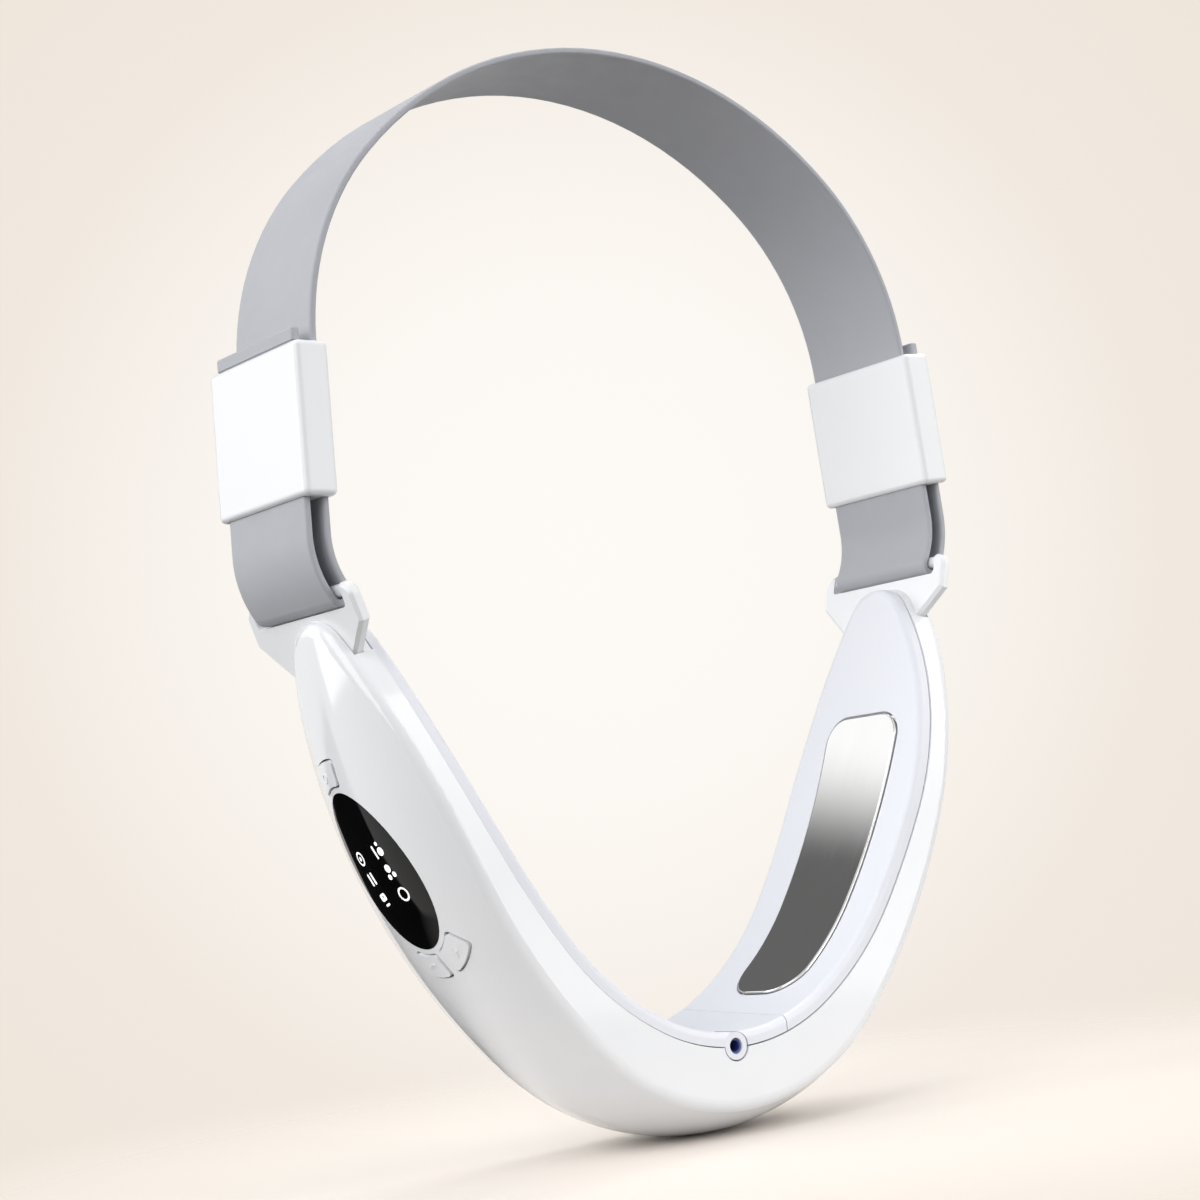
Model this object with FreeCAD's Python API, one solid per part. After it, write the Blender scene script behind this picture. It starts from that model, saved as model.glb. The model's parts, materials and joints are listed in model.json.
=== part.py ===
import FreeCAD, Part
import math
import os
from FreeCAD import Vector

os.makedirs("parts", exist_ok=True)

# Face massager: a U-shaped housing that cups the jaw, hung from an adjustable head strap.
# Millimetres and degrees. +Z is up, +X is the right arm as seen from the front, -Y is the front.
# The origin is the lowest point of the chin, on the housing's middle plane.

# Housing outline in the front view: tangent arcs from the chin up each arm
rim_bottom_z = 18.5
rim_chin_radius = 45.75
rim_jaw_radius = 69.5
rim_arm_radius = 171.0
rim_chin_turn = 29.0
rim_jaw_turn = 53.0
shell_bottom_z = 0.0
shell_chin_radius = 58.6
shell_jaw_radius = 137.4
shell_arm_radius = 300.0
shell_chin_turn = 45.0
tip_thickness = 8.25
crown_radius = 38.0

# Housing outline in the side view: slanted flank, flank arc and round nose
flank_half_depth = 22.2
flank_top_z = 62.0
flank_slant = 1.5
nose_radius = 9.5
tip_z = 115.6

# Walls and parting gaps of the housing
shell_wall = 2.2
crease_fillet = 3.0
lining_height = 3.3
lining_wall = 1.6
lining_step = 0.35
lining_fillet = 1.5
parting_gap = 0.25

# Chin panel of the lining and the charging socket in the front rim
panel_left_x = -13.0
panel_right_x = 10.3
panel_right_skew = 6.0
rim_strip = 3.4
socket_x = -3.5
socket_z = 19.0
socket_bore_radius = 1.25
socket_nose_radius = 1.65
socket_body_length = 8.0
socket_floor = 1.0
socket_recess = 0.5
eye_radius = 2.9
eye_length = 8.0
terminal_half_width = 2.6
terminal_drop = 5.0
eye_proud = 0.1
nose_clearance = 0.05
eye_gap = 0.45
eye_gap_below = 0.3

# Polished electrode plates set into the lining
electrode_angle = 54.5
electrode_rise = 5.3
electrode_sheet = 0.8
electrode_length = 73.0
electrode_top_width = 23.8
electrode_foot_width = 21.6
electrode_top_radius = 6.0
electrode_foot_radius = 8.0
electrode_middle_y = -0.7
electrode_proud = 0.5
electrode_flange = 1.6
electrode_flange_thickness = 1.0
electrode_gap = 0.5
electrode_seat_gap = 0.1
electrode_edge = 0.4

# Oval display and the keys around its ends, on the left arm's outer face
display_z = 63.65
display_y = 1.25
display_tilt = 16.0
display_half_length = 18.25
display_half_width = 11.1
lens_thickness = 1.2
lens_gap = 0.12
lens_ledge = 1.6
key_ring_gap = 1.6
key_height = 5.3
key_top_half_span = 16.4
key_low_start = 4.2
key_low_end = 30.0
key_proud = 0.35
key_depth = 1.6
key_gap = 0.4
key_corner = 0.9
key_travel = 0.5

# Board, light frame and switches behind the display
board_gap = 1.5
board_thickness = 1.2
board_half_length = 24.0
board_half_width = 10.0
board_corner = 8.0
boss_along = 14.0
boss_across = 8.2
boss_radius = 1.9
frame_inset = 2.4
frame_wall = 1.4
frame_seat_gap = 0.1
switch_size = 4.0
switch_gap = 0.15
screw_radius = 0.9
screw_head_radius = 1.6
screw_head_height = 1.2
board_screw_length = 3.6
ear_screw_length = 4.2
screw_clearance = 0.1

# Strap, its keepers and the ears that carry it
strap_plane_y = 3.5
strap_width = 31.0
strap_thickness = 1.5
strap_pitch = 4.2
strap_rise = 83.3
strap_corner_turn = 45.0
tab_thickness = 2.0
tab_width = 31.4
tab_length = 2.8
tab_clearance = 0.1
tab_edge = 0.5
sleeve_reach = 7.3
sleeve_rise = 50.2
sleeve_lean = 2.5
sleeve_length = 31.2
sleeve_width = 36.0
sleeve_wall = 0.8
sleeve_edge = 1.4
sleeve_end_edge = 1.2
strap_clearance = 0.2
strap_side_clearance = 0.4
sleeve_travel = 7.0

ear_drop = 11.6
ear_stand_off = 3.2
ear_lean = 17.7
ear_thickness = 2.8
ear_half_width = 20.6
ear_foot_half_width = 9.7
ear_shoulder = 9.8
ear_height = 18.2
ear_corner = 3.0
ear_tongue_half_width = 6.6
ear_tongue_length = 7.5
ear_neck = 1.5
ear_screw_height = -3.5
ear_screw_spacing = 9.0
ear_gap = 0.15
ear_edge = 0.7
ear_slot_margin = 2.0
ear_slot_corner = 1.0
ear_bar_height = 16.3
ear_bar_straight = 0.7
ear_bar_clearance = 0.4
ear_slot_clearance = 0.1

# Power and massage parts inside the arms
battery_angle = 57.0
battery_length = 36.0
battery_width = 22.0
battery_lift = 1.2
bracket_wall = 1.0
bracket_gap = 0.15
bracket_clearance = 0.2
motor_angle = 17.0
motor_lift = 7.0
motor_radius = 4.0
motor_length = 13.0
motor_shaft_radius = 0.5
motor_shaft_clearance = 0.04
motor_shaft_reach = 4.5
motor_y = 2.0
weight_radius = 3.2
weight_length = 3.4
weight_gap = 0.5
cradle_wall = 1.2
cradle_gap = 0.1
cable_gap = 0.15
cable_thickness = 0.6
cable_end_z = 25.0
cable_width = 6.0
cable_y = 13.0
contact_radius = 1.2
contact_gap = 0.1
contact_angle = 40.0
contact_top = 0.8
rib_thickness = 1.6
rib_half_depth = 8.0
rib_gap = 0.1
battery_edge = 1.0

# Reach of the helper solids that trim the housing: larger than the housing itself
reach = 150.0
trim_half_depth = 28.0
trim_depth = 30.0
trim_rise = 8.0
display_room = 12.0
half_turn = 180.0


def flat(x, z):
    """Point of the front view, on the middle plane."""
    return Vector(x, 0.0, z)


def mirrored(shape):
    """Same piece on the other arm."""
    return shape.mirror(Vector(0, 0, 0), Vector(1, 0, 0))


def block(low_x, high_x, low_y, high_y, low_z, high_z):
    """Box between two corners."""
    return Part.makeBox(high_x - low_x, high_y - low_y, high_z - low_z, Vector(low_x, low_y, low_z))


def wire_of(points):
    """Closed wire of straight lines."""
    return Part.makePolygon(list(points) + [points[0]])


def middle_of(edge):
    """Point halfway along an edge."""
    return edge.valueAt((edge.FirstParameter + edge.LastParameter) / 2)


def fused(shapes):
    """One solid from several that touch or overlap."""
    shapes = list(shapes)
    if len(shapes) == 1:
        return shapes[0]
    return shapes[0].fuse(shapes[1:]).removeSplitter()


def export(shape, node):
    """Write one node's solids."""
    shape.exportStep("parts/" + node + ".step")
    print(node, len(shape.Solids), "solids", round(shape.Volume, 1), "mm3", "valid" if shape.isValid() else "BAD")


# Front-view outlines


def arc_chain(bottom_z, radii, turns, top_z):
    """Tangent arcs from the lowest point up the right arm, with angles counted from straight down."""
    centre_x = 0.0
    centre_z = bottom_z + radii[0]
    start = 0.0
    chain = []
    for index, radius in enumerate(radii):
        if index > 0:
            shift = radii[index - 1] - radius
            centre_x += shift * math.sin(math.radians(start))
            centre_z -= shift * math.cos(math.radians(start))
        if index < len(turns):
            end = turns[index]
        else:
            end = math.degrees(math.acos((centre_z - top_z) / radius))
        chain.append({"x": centre_x, "z": centre_z, "radius": radius, "start": start, "end": end})
        start = end
    return chain


def arc_point(arc, angle, offset=0.0):
    """Point on one arc of a chain, moved outwards by an offset."""
    reach_out = arc["radius"] + offset
    turn = math.radians(angle)
    return flat(arc["x"] + reach_out * math.sin(turn), arc["z"] - reach_out * math.cos(turn))


def arm_edges(chain, offset):
    """Edges of a chain at an offset, from the chin to the top of the right arm."""
    edges = []
    for arc in chain:
        middle = (arc["start"] + arc["end"]) / 2
        ends = [arc_point(arc, angle, offset) for angle in (arc["start"], middle, arc["end"])]
        edges.append(Part.Arc(*ends).toShape())
    return edges


def u_edges(chain, offset):
    """Edges of both arms at an offset."""
    right = arm_edges(chain, offset)
    return [mirrored(edge) for edge in reversed(right)] + right


def top_of(chain, offset):
    """Upper end of the right arm at an offset."""
    return arc_point(chain[-1], chain[-1]["end"], offset)


def opposite(point):
    """Mirror point on the left arm."""
    return Vector(-point.x, point.y, point.z)


def prism(edges, half_depth):
    """Solid of a closed front-view outline, from front to back."""
    face = Part.Face(Part.Wire(Part.__sortEdges__(edges)))
    face.translate(Vector(0, -half_depth, 0))
    return face.extrude(Vector(0, 2 * half_depth, 0))


def u_band(chain, inner, outer, half_depth):
    """U-shaped band between two offsets of a chain."""
    inner_top = top_of(chain, inner)
    outer_top = top_of(chain, outer)
    ends = [
        Part.makeLine(inner_top, outer_top),
        Part.makeLine(opposite(inner_top), opposite(outer_top)),
    ]
    return prism(u_edges(chain, inner) + u_edges(chain, outer) + ends, half_depth)


def outside_of(chain, offset):
    """Everything outside the U of a chain, as far as the trimming reach."""
    top = top_of(chain, offset)
    corners = [top, flat(reach, top.z), flat(reach, -reach), flat(-reach, -reach), flat(-reach, top.z), opposite(top)]
    lines = [Part.makeLine(a, b) for a, b in zip(corners[:-1], corners[1:])]
    return prism(u_edges(chain, offset) + lines, trim_half_depth)


def rim_to(top_z):
    """Arcs of the rim, up to a height."""
    radii = (rim_chin_radius, rim_jaw_radius, rim_arm_radius)
    return arc_chain(rim_bottom_z, radii, (rim_chin_turn, rim_jaw_turn), top_z)


def shell_to(jaw_turn, top_z):
    """Arcs of the shell's outer line with the jaw's arc ending at an angle, up to a height."""
    radii = (shell_chin_radius, shell_jaw_radius, shell_arm_radius)
    return arc_chain(shell_bottom_z, radii, (shell_chin_turn, jaw_turn), top_z)


def find_jaw_turn():
    """Angle where the jaw's arc passes into the arm's, so that the tip has its thickness over the rim."""
    tip_x = top_of(rim_to(tip_z), 0.0).x + tip_thickness
    low = shell_chin_turn
    high = half_turn / 2
    for _ in range(50):
        middle = (low + high) / 2
        if top_of(shell_to(middle, tip_z), 0.0).x > tip_x:
            low = middle
        else:
            high = middle
    return low


rim_chain = rim_to(tip_z + trim_rise)
shell_chain = shell_to(find_jaw_turn(), tip_z + trim_rise)
ear_root_z = tip_z - ear_drop
ear_root_x = top_of(rim_to(ear_root_z), 0.0).x + ear_stand_off
sleeve_x = ear_root_x + sleeve_reach
sleeve_z = ear_root_z + sleeve_rise
strap_top_z = sleeve_z + strap_rise


def arc_at(chain, angle):
    """Arc of a chain that holds an angle."""
    for arc in chain:
        if angle <= arc["end"]:
            return arc
    return chain[-1]


def angle_at(chain, z):
    """Angle at which a chain reaches a height."""
    for arc in chain:
        if z <= arc_point(arc, arc["end"]).z:
            return math.degrees(math.acos((arc["z"] - z) / arc["radius"]))


def chain_offset(chain, point):
    """Distance of a point outside a chain, in the front view."""
    across = abs(point.x)
    for arc in chain:
        angle = math.degrees(math.atan2(across - arc["x"], arc["z"] - point.z))
        if angle <= arc["end"] or arc is chain[-1]:
            return math.hypot(across - arc["x"], arc["z"] - point.z) - arc["radius"]


def at_station(shape, chain, angle, offset=0.0):
    """Place a shape on a chain: its X points outwards, its Z up along the arm."""
    placed = shape.copy()
    placed.rotate(Vector(0, 0, 0), Vector(0, 1, 0), 90.0 - angle)
    placed.translate(arc_point(arc_at(chain, angle), angle, offset))
    return placed


def inner_wall(chain, angle, along, across, low, high):
    """Distance out from a chain, square to it at an angle, at which the shell's crowned inner wall is met."""
    turn = math.radians(angle)
    base = arc_point(arc_at(chain, angle), angle)
    base += flat(math.cos(turn), math.sin(turn)) * along + Vector(0, across, 0)
    curve = crown_radius - shell_wall
    drop = curve - math.sqrt(curve**2 - across**2)
    for _ in range(50):
        middle = (low + high) / 2
        point = base + flat(math.sin(turn), -math.cos(turn)) * middle
        if chain_offset(shell_chain, point) + shell_wall + drop < 0:
            low = middle
        else:
            high = middle
    return low


# Trimming solids of the housing


def crown(inset):
    """Inside of the crowned outer surface, moved inwards by an inset."""
    sectors = []
    curve = crown_radius - inset
    edge_drop = curve - math.sqrt(curve**2 - trim_half_depth**2)
    for index, arc in enumerate(shell_chain):
        apex = arc["z"] - arc["radius"] + inset
        edge = apex + edge_drop
        back = arc["z"] - arc["radius"] + trim_depth
        corners = [
            Vector(arc["x"], -trim_half_depth, edge),
            Vector(arc["x"], 0, apex),
            Vector(arc["x"], trim_half_depth, edge),
            Vector(arc["x"], trim_half_depth, back),
            Vector(arc["x"], -trim_half_depth, back),
        ]
        outline = [Part.Arc(*corners[:3]).toShape()]
        outline += [Part.makeLine(corners[i], corners[(i + 1) % 5]) for i in (2, 3, 4)]
        section = Part.Face(Part.Wire(outline))
        axis_point = flat(arc["x"], arc["z"])
        axis = Vector(0, -1, 0)
        if index == 0:
            section.rotate(axis_point, axis, -arc["end"])
            sectors.append(section.revolve(axis_point, axis, 2 * arc["end"]))
        else:
            section.rotate(axis_point, axis, arc["start"])
            sector = section.revolve(axis_point, axis, arc["end"] - arc["start"])
            sectors += [sector, mirrored(sector)]
    return sectors[0].fuse(sectors[1:])


def side_profile(inset):
    """Solid of the side view's outline, across both arms, moved inwards by an inset."""
    slant = math.radians(flank_slant)
    nose_z = tip_z - nose_radius
    rise = nose_z - flank_top_z
    spread = flank_half_depth * math.cos(slant) + rise * math.sin(slant) - nose_radius
    flank_radius = (flank_half_depth**2 + rise**2 - nose_radius**2) / (2 * spread)
    centre_y = flank_half_depth - flank_radius * math.cos(slant)
    centre_z = flank_top_z + flank_radius * math.sin(slant)
    to_nose = math.atan2(nose_z - centre_z, -centre_y)
    curve = flank_radius - inset

    def on_flank(angle):
        return (centre_y + curve * math.cos(angle), centre_z + curve * math.sin(angle))

    start = on_flank(-slant)
    middle = on_flank((to_nose - slant) / 2)
    shoulder = on_flank(to_nose)
    foot_z = -trim_depth
    foot = (start[0] - (start[1] - foot_z) * math.tan(slant), foot_z)
    right = [Vector(-reach, y, z) for y, z in (foot, start, middle, shoulder)]
    left = [Vector(-reach, -point.y, point.z) for point in right]
    nose = Vector(-reach, 0, tip_z - inset)
    edges = [
        Part.makeLine(right[0], right[1]),
        Part.Arc(right[1], right[2], right[3]).toShape(),
        Part.Arc(right[3], nose, left[3]).toShape(),
        Part.Arc(left[3], left[2], left[1]).toShape(),
        Part.makeLine(left[1], left[0]),
        Part.makeLine(left[0], right[0]),
    ]
    return Part.Face(Part.Wire(edges)).extrude(Vector(2 * reach, 0, 0))


# Ears


def ear_placed(shape):
    """Place a shape from the ear's own frame: X through the plate, Z up along it, Y from the strap's plane."""
    placed = shape.copy()
    placed.rotate(Vector(0, 0, 0), Vector(0, 1, 0), ear_lean)
    placed.translate(Vector(ear_root_x, strap_plane_y, ear_root_z))
    return placed


def ear_outline(grow):
    """Plate outline in the ear's frame, half by half."""
    width = ear_half_width + grow
    foot = ear_foot_half_width + grow
    top = ear_height + grow
    tongue = ear_tongue_half_width + grow
    tongue_end = -ear_tongue_length - grow
    right = [
        (tongue, tongue_end),
        (tongue, -ear_neck),
        (foot, 0.0),
        (width, ear_shoulder),
        (width, top),
    ]
    left = [(-y, z) for y, z in reversed(right)]
    return [Vector(0, y, z) for y, z in right + left]


def ear_slab(grow, inner, outer):
    """Plate outline between two distances through the plate."""
    face = Part.Face(wire_of(ear_outline(grow)))
    face.translate(Vector(inner, 0, 0))
    return ear_placed(face.extrude(Vector(outer - inner, 0, 0)))


def make_ear():
    """Plate with a strap slot and a round-edged bar, and the pad that fills the tip behind the lining."""
    half = ear_thickness / 2
    plate = Part.Face(wire_of(ear_outline(0.0)))
    plate.translate(Vector(-half, 0, 0))
    plate = plate.extrude(Vector(ear_thickness, 0, 0))
    through = [edge for edge in plate.Edges if edge.BoundBox.XLength > half]
    plate = plate.makeFillet(ear_corner, [edge for edge in through if middle_of(edge).z > ear_height - ear_corner])
    rim_edges = []
    for edge in plate.Edges:
        if edge.BoundBox.XLength < half and edge.BoundBox.ZMin > -ear_neck / 2:
            rim_edges.append(edge)
    plate = plate.makeChamfer(ear_edge, rim_edges)
    slot_half = strap_width / 2 + ear_slot_margin
    fold_reach = strap_pitch / 2 + strap_thickness / 2
    slot_low = ear_bar_height - fold_reach - ear_slot_clearance
    slot = block(-ear_thickness, ear_thickness, -slot_half, slot_half, slot_low, 2 * ear_height)
    corners = [edge for edge in slot.Edges if edge.BoundBox.XLength > half]
    slot = slot.makeFillet(ear_slot_corner, [edge for edge in corners if middle_of(edge).z < ear_bar_height])
    plate = plate.cut(slot)
    bar_radius = (strap_pitch - strap_thickness) / 2 - ear_bar_clearance
    bar_reach = slot_half + ear_edge
    low = Part.makeCylinder(bar_radius, 2 * bar_reach, Vector(0, -bar_reach, ear_bar_height), Vector(0, 1, 0))
    high = low.copy()
    high.translate(Vector(0, 0, ear_bar_straight))
    web = block(-bar_radius, bar_radius, -bar_reach, bar_reach, ear_bar_height, ear_bar_height + ear_bar_straight)
    ear = ear_placed(plate.fuse([low, high, web]).removeSplitter())
    pad = ear_slab(-ear_gap, -trim_depth, -half + ear_gap)
    pad = pad.common(outside_of(rim_chain, ear_gap)).common(side_profile(lining_step))
    pad = pad.common(block(0, reach, -reach, reach, ear_root_z, reach))
    return fused([ear, pad])


def ear_space():
    """Room for the ear in the tip of the shell."""
    return ear_slab(ear_gap, -trim_depth, ear_thickness / 2 + ear_gap)


# Strap and sleeves


def along_sleeve(distance, sideways):
    """Point on the right sleeve's line: up along it, and sideways outwards."""
    lean = math.radians(sleeve_lean)
    return flat(
        sleeve_x - distance * math.sin(lean) + sideways * math.cos(lean),
        sleeve_z + distance * math.cos(lean) + sideways * math.sin(lean),
    )


def strap_route():
    """Lengths and bends of the strap between an ear's bar and the crown of the head."""
    lean = math.radians(sleeve_lean)
    plate = math.radians(ear_lean)
    bar_x = ear_root_x + ear_bar_height * math.sin(plate)
    bar_z = ear_root_z + ear_bar_height * math.cos(plate)
    below = sleeve_length / 2 + sleeve_travel + strap_clearance
    bend_top = along_sleeve(-below, 0.0)
    chord = math.atan2(bend_top.x - bar_x, bend_top.z - bar_z)
    bend = 2 * (chord + lean)
    bend_radius = (bend_top.z - bar_z) / math.cos(chord) / (2 * math.sin(bend / 2))
    above = sleeve_length / 2 + strap_clearance
    leg_top = along_sleeve(above, -strap_pitch / 2)
    corner = math.radians(strap_corner_turn)
    apex_z = strap_top_z - strap_thickness / 2
    side_x = math.cos(lean) - math.cos(corner)
    side_z = math.sin(corner) - math.sin(lean)
    crown_z = 1 - math.sin(corner)
    side_radius = (apex_z - leg_top.z) - leg_top.x * crown_z / math.cos(corner)
    side_radius /= side_z - side_x * crown_z / math.cos(corner)
    top_radius = (leg_top.x - side_radius * side_x) / math.cos(corner)
    return {
        "bend": math.degrees(bend),
        "bend_radius": bend_radius,
        "below": below,
        "above": above,
        "side_radius": side_radius,
        "side_turn": strap_corner_turn - sleeve_lean,
        "top_radius": top_radius,
        "top_turn": 2 * (90.0 - strap_corner_turn),
    }


def walk(start, heading, steps, offset):
    """Edges of a route at an offset to its left: lines of a length, arcs of a radius and a turn."""
    place = start
    edges = []
    for step in steps:
        ahead = flat(math.cos(heading), math.sin(heading))
        left = flat(-ahead.z, ahead.x)
        if step[0] == "line":
            end = place + ahead * step[1]
            edges.append(Part.makeLine(place + left * offset, end + left * offset))
        else:
            turn = math.radians(step[2])
            side = math.copysign(1.0, turn)
            centre = place + left * (side * step[1])
            curve = step[1] - side * offset
            marks = []
            for part in (0.0, 0.5, 1.0):
                angle = heading + turn * part
                marks.append(centre + flat(math.sin(angle), -math.cos(angle)) * (side * curve))
            edges.append(Part.Arc(*marks).toShape())
            end = centre + flat(math.sin(heading + turn), -math.cos(heading + turn)) * (side * step[1])
            heading += turn
        place = end
    return edges


def make_strap():
    """Silicone band: up from one end tab, round the ear's bar, over the head and down to the other tab."""
    route = strap_route()
    half_pitch = strap_pitch / 2
    leg = [
        ("line", route["above"] + tab_length + route["below"]),
        ("arc", route["bend_radius"] + half_pitch, -route["bend"]),
        ("arc", half_pitch, -half_turn),
        ("arc", route["bend_radius"] - half_pitch, route["bend"]),
        ("line", route["below"] + route["above"]),
        ("arc", route["side_radius"], route["side_turn"]),
    ]
    steps = leg + [("arc", route["top_radius"], route["top_turn"])] + leg[::-1]
    start = along_sleeve(route["above"] + tab_length, half_pitch)
    heading = math.radians(sleeve_lean - 90.0)
    half = strap_thickness / 2
    left = walk(start, heading, steps, half)
    right = walk(start, heading, steps, -half)
    ends = []
    for index, point in ((0, 0), (-1, -1)):
        ends.append(Part.makeLine(left[index].Vertexes[point].Point, right[index].Vertexes[point].Point))
    band = prism(left + right + ends, strap_width / 2)
    tab = Part.makeBox(
        tab_thickness,
        tab_width,
        tab_length - tab_clearance,
        Vector(half_pitch - tab_thickness / 2, -tab_width / 2, route["above"] + tab_clearance),
    )
    tab = tab.makeFillet(tab_edge, [edge for edge in tab.Edges if edge.BoundBox.YLength > 1])
    tab.rotate(Vector(0, 0, 0), Vector(0, 1, 0), -sleeve_lean)
    tab.translate(flat(sleeve_x, sleeve_z))
    strap = fused([band, tab, mirrored(tab)])
    strap.translate(Vector(0, strap_plane_y, 0))
    for part, value in route.items():
        print("strap", part, round(value, 4))
    return strap


def make_sleeve():
    """Rectangular keeper with two channels, one for each layer of the strap."""
    channel = strap_thickness + 2 * strap_clearance
    thickness = strap_pitch + channel + 2 * sleeve_wall
    body = block(
        -thickness / 2, thickness / 2, -sleeve_width / 2, sleeve_width / 2, -sleeve_length / 2, sleeve_length / 2
    )
    body = body.makeFillet(sleeve_edge, [edge for edge in body.Edges if edge.BoundBox.ZLength > 1])
    end_edges = [edge for edge in body.Edges if edge.BoundBox.ZLength < 1e-6]
    body = body.makeFillet(sleeve_end_edge, end_edges)
    half_width = strap_width / 2 + strap_side_clearance
    for side in (-1, 1):
        middle = side * strap_pitch / 2
        body = body.cut(
            block(middle - channel / 2, middle + channel / 2, -half_width, half_width, -sleeve_length, sleeve_length)
        )
    body.rotate(Vector(0, 0, 0), Vector(0, 1, 0), -sleeve_lean)
    body.translate(Vector(sleeve_x, strap_plane_y, sleeve_z))
    return body


# Display and keys: the display's frame has X outwards, Z up along the oval and Y across it

display_angle = angle_at(shell_chain, display_z)


def display_placed(shape):
    """Place a shape from the display's frame on the left arm."""
    placed = shape.copy()
    placed.rotate(Vector(0, 0, 0), Vector(1, 0, 0), -display_tilt)
    placed.translate(Vector(0, display_y, 0))
    return mirrored(at_station(placed, shell_chain, display_angle))


def oval(grow, inner, outer):
    """Oval of the display, grown by a margin, between two distances from the outer face."""
    curve = Part.Ellipse(
        Vector(inner, 0, display_half_length + grow), Vector(inner, display_half_width + grow, 0), Vector(inner, 0, 0)
    )
    return Part.Face(Part.Wire([curve.toShape()])).extrude(Vector(outer - inner, 0, 0))


def ring_point(grow, angle, depth):
    """Point on the oval grown by a margin, at an angle from its upper end towards the back."""
    turn = math.radians(angle)
    return Vector(
        depth, (display_half_width + grow) * math.sin(turn), (display_half_length + grow) * math.cos(turn)
    )


def key_block(start, end, grow, inner, outer):
    """Key outline: a stretch of the ring around the display, between two distances from the outer face."""
    near = key_ring_gap - grow
    far = key_ring_gap + key_height + grow
    spread = math.degrees(grow / (display_half_width + key_ring_gap + key_height / 2))
    start -= spread
    end += spread
    middle = (start + end) / 2
    corners = [ring_point(near, start, inner), ring_point(near, middle, inner), ring_point(near, end, inner)]
    corners += [ring_point(far, end, inner), ring_point(far, middle, inner), ring_point(far, start, inner)]
    edges = [
        Part.Arc(*corners[:3]).toShape(),
        Part.makeLine(corners[2], corners[3]),
        Part.Arc(*corners[3:]).toShape(),
        Part.makeLine(corners[5], corners[0]),
    ]
    key = Part.Face(Part.Wire(edges)).extrude(Vector(outer - inner, 0, 0))
    return key.makeFillet(key_corner, [edge for edge in key.Edges if edge.BoundBox.XLength > 1])


key_spans = {
    "mode_button": (-key_top_half_span, key_top_half_span),
    "stronger_button": (half_turn + key_low_start, half_turn + key_low_end),
    "weaker_button": (half_turn - key_low_end, half_turn - key_low_start),
}
crown_outer = crown(0.0)
crown_inner = crown(shell_wall)


def make_key(span):
    """Key cap that follows the shell's outer face, a little proud of it."""
    cap = display_placed(key_block(*span, 0.0, -display_room, display_room))
    return cap.common(crown(-key_proud)).cut(crown(key_depth))


def switch_places():
    """Middle of each key in the display's frame."""
    middle = key_ring_gap + key_height / 2
    return [ring_point(middle, (start + end) / 2, 0.0) for start, end in key_spans.values()]


# Housing pieces


def half_depth_at(z):
    """Half depth of the housing's straight flank at a height."""
    return flank_half_depth - (flank_top_z - z) * math.tan(math.radians(flank_slant))


def rib(angle, low, along):
    """Rib of the shell that a piece rests on, from a height above the rim to the outer wall."""
    return at_station(
        block(low, trim_depth, -rib_half_depth, rib_half_depth, along - rib_thickness / 2, along + rib_thickness / 2),
        rim_chain,
        angle,
    )


def ear_screw_cylinder(radius, inner, outer, side):
    """Round stretch through the ear's tongue, between two distances through the plate."""
    base = Vector(inner, side * ear_screw_spacing / 2, ear_screw_height)
    return ear_placed(Part.makeCylinder(radius, outer - inner, base, Vector(1, 0, 0)))


def board_cylinder(radius, inner, outer, along, across):
    """Round stretch square to the board, between two distances from the outer face."""
    base = Vector(inner, across * boss_across, along * boss_along)
    return display_placed(Part.makeCylinder(radius, outer - inner, base, Vector(1, 0, 0)))


def find_board_depth():
    """Distance of the board below the outer face that clears the shell's inner wall under its rounded corners."""
    tilt = math.radians(display_tilt)
    depths = []
    for along, across in board_corners:
        z = along * (board_half_length - board_corner)
        y = across * board_half_width
        up = z * math.cos(tilt) - y * math.sin(tilt)
        back = display_y + y * math.cos(tilt) + z * math.sin(tilt)
        depths.append(-inner_wall(shell_chain, display_angle, up, back, -trim_depth, display_room))
    return max(depths) + board_gap


def find_bracket_top():
    """Height of the battery's bracket over the rim that clears the shell's inner wall."""
    heights = []
    for along in (-bracket_half_length, bracket_half_length):
        heights.append(inner_wall(rim_chain, battery_angle, along, bracket_half_width, 0.0, trim_depth))
    return min(heights) - bracket_clearance


board_corners = [(along, across) for along in (-1, 1) for across in (-1, 1)]
board_depth = find_board_depth()
bracket_half_length = battery_length / 3 + rib_thickness
bracket_half_width = battery_width / 2 + bracket_gap + bracket_wall
bracket_top = find_bracket_top()
battery_top = bracket_top - bracket_wall - bracket_gap
cradle_top = motor_lift + motor_radius + cradle_gap + cradle_wall
eye_front_y = -half_depth_at(socket_z) + lining_step - eye_proud
eye_back_y = eye_front_y + eye_length


def eye_cylinder(radius, start_y, end_y):
    """Round stretch along the charging socket's axis."""
    return Part.makeCylinder(radius, end_y - start_y, Vector(socket_x, start_y, socket_z), Vector(0, 1, 0))


def eye_room():
    """Oval room around the socket's eye, wider at its sides than below it."""
    middle = Vector(socket_x, -reach, socket_z)
    side = middle + Vector(eye_radius + eye_gap, 0, 0)
    below = middle - Vector(0, 0, eye_radius + eye_gap_below)
    curve = Part.Ellipse(side, below, middle)
    return Part.Face(Part.Wire([curve.toShape()])).extrude(Vector(0, reach + eye_back_y + eye_gap, 0))


def crease_edges(solid):
    """Edges where the crowned outer face meets the flanks and the noses."""
    edges = []
    for edge in solid.Edges:
        kinds = {face.Surface.TypeId for face in solid.ancestorsOfType(edge, Part.Face)}
        if "Part::GeomToroid" in kinds and len(kinds) > 1:
            edges.append(edge)
    return edges


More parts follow.
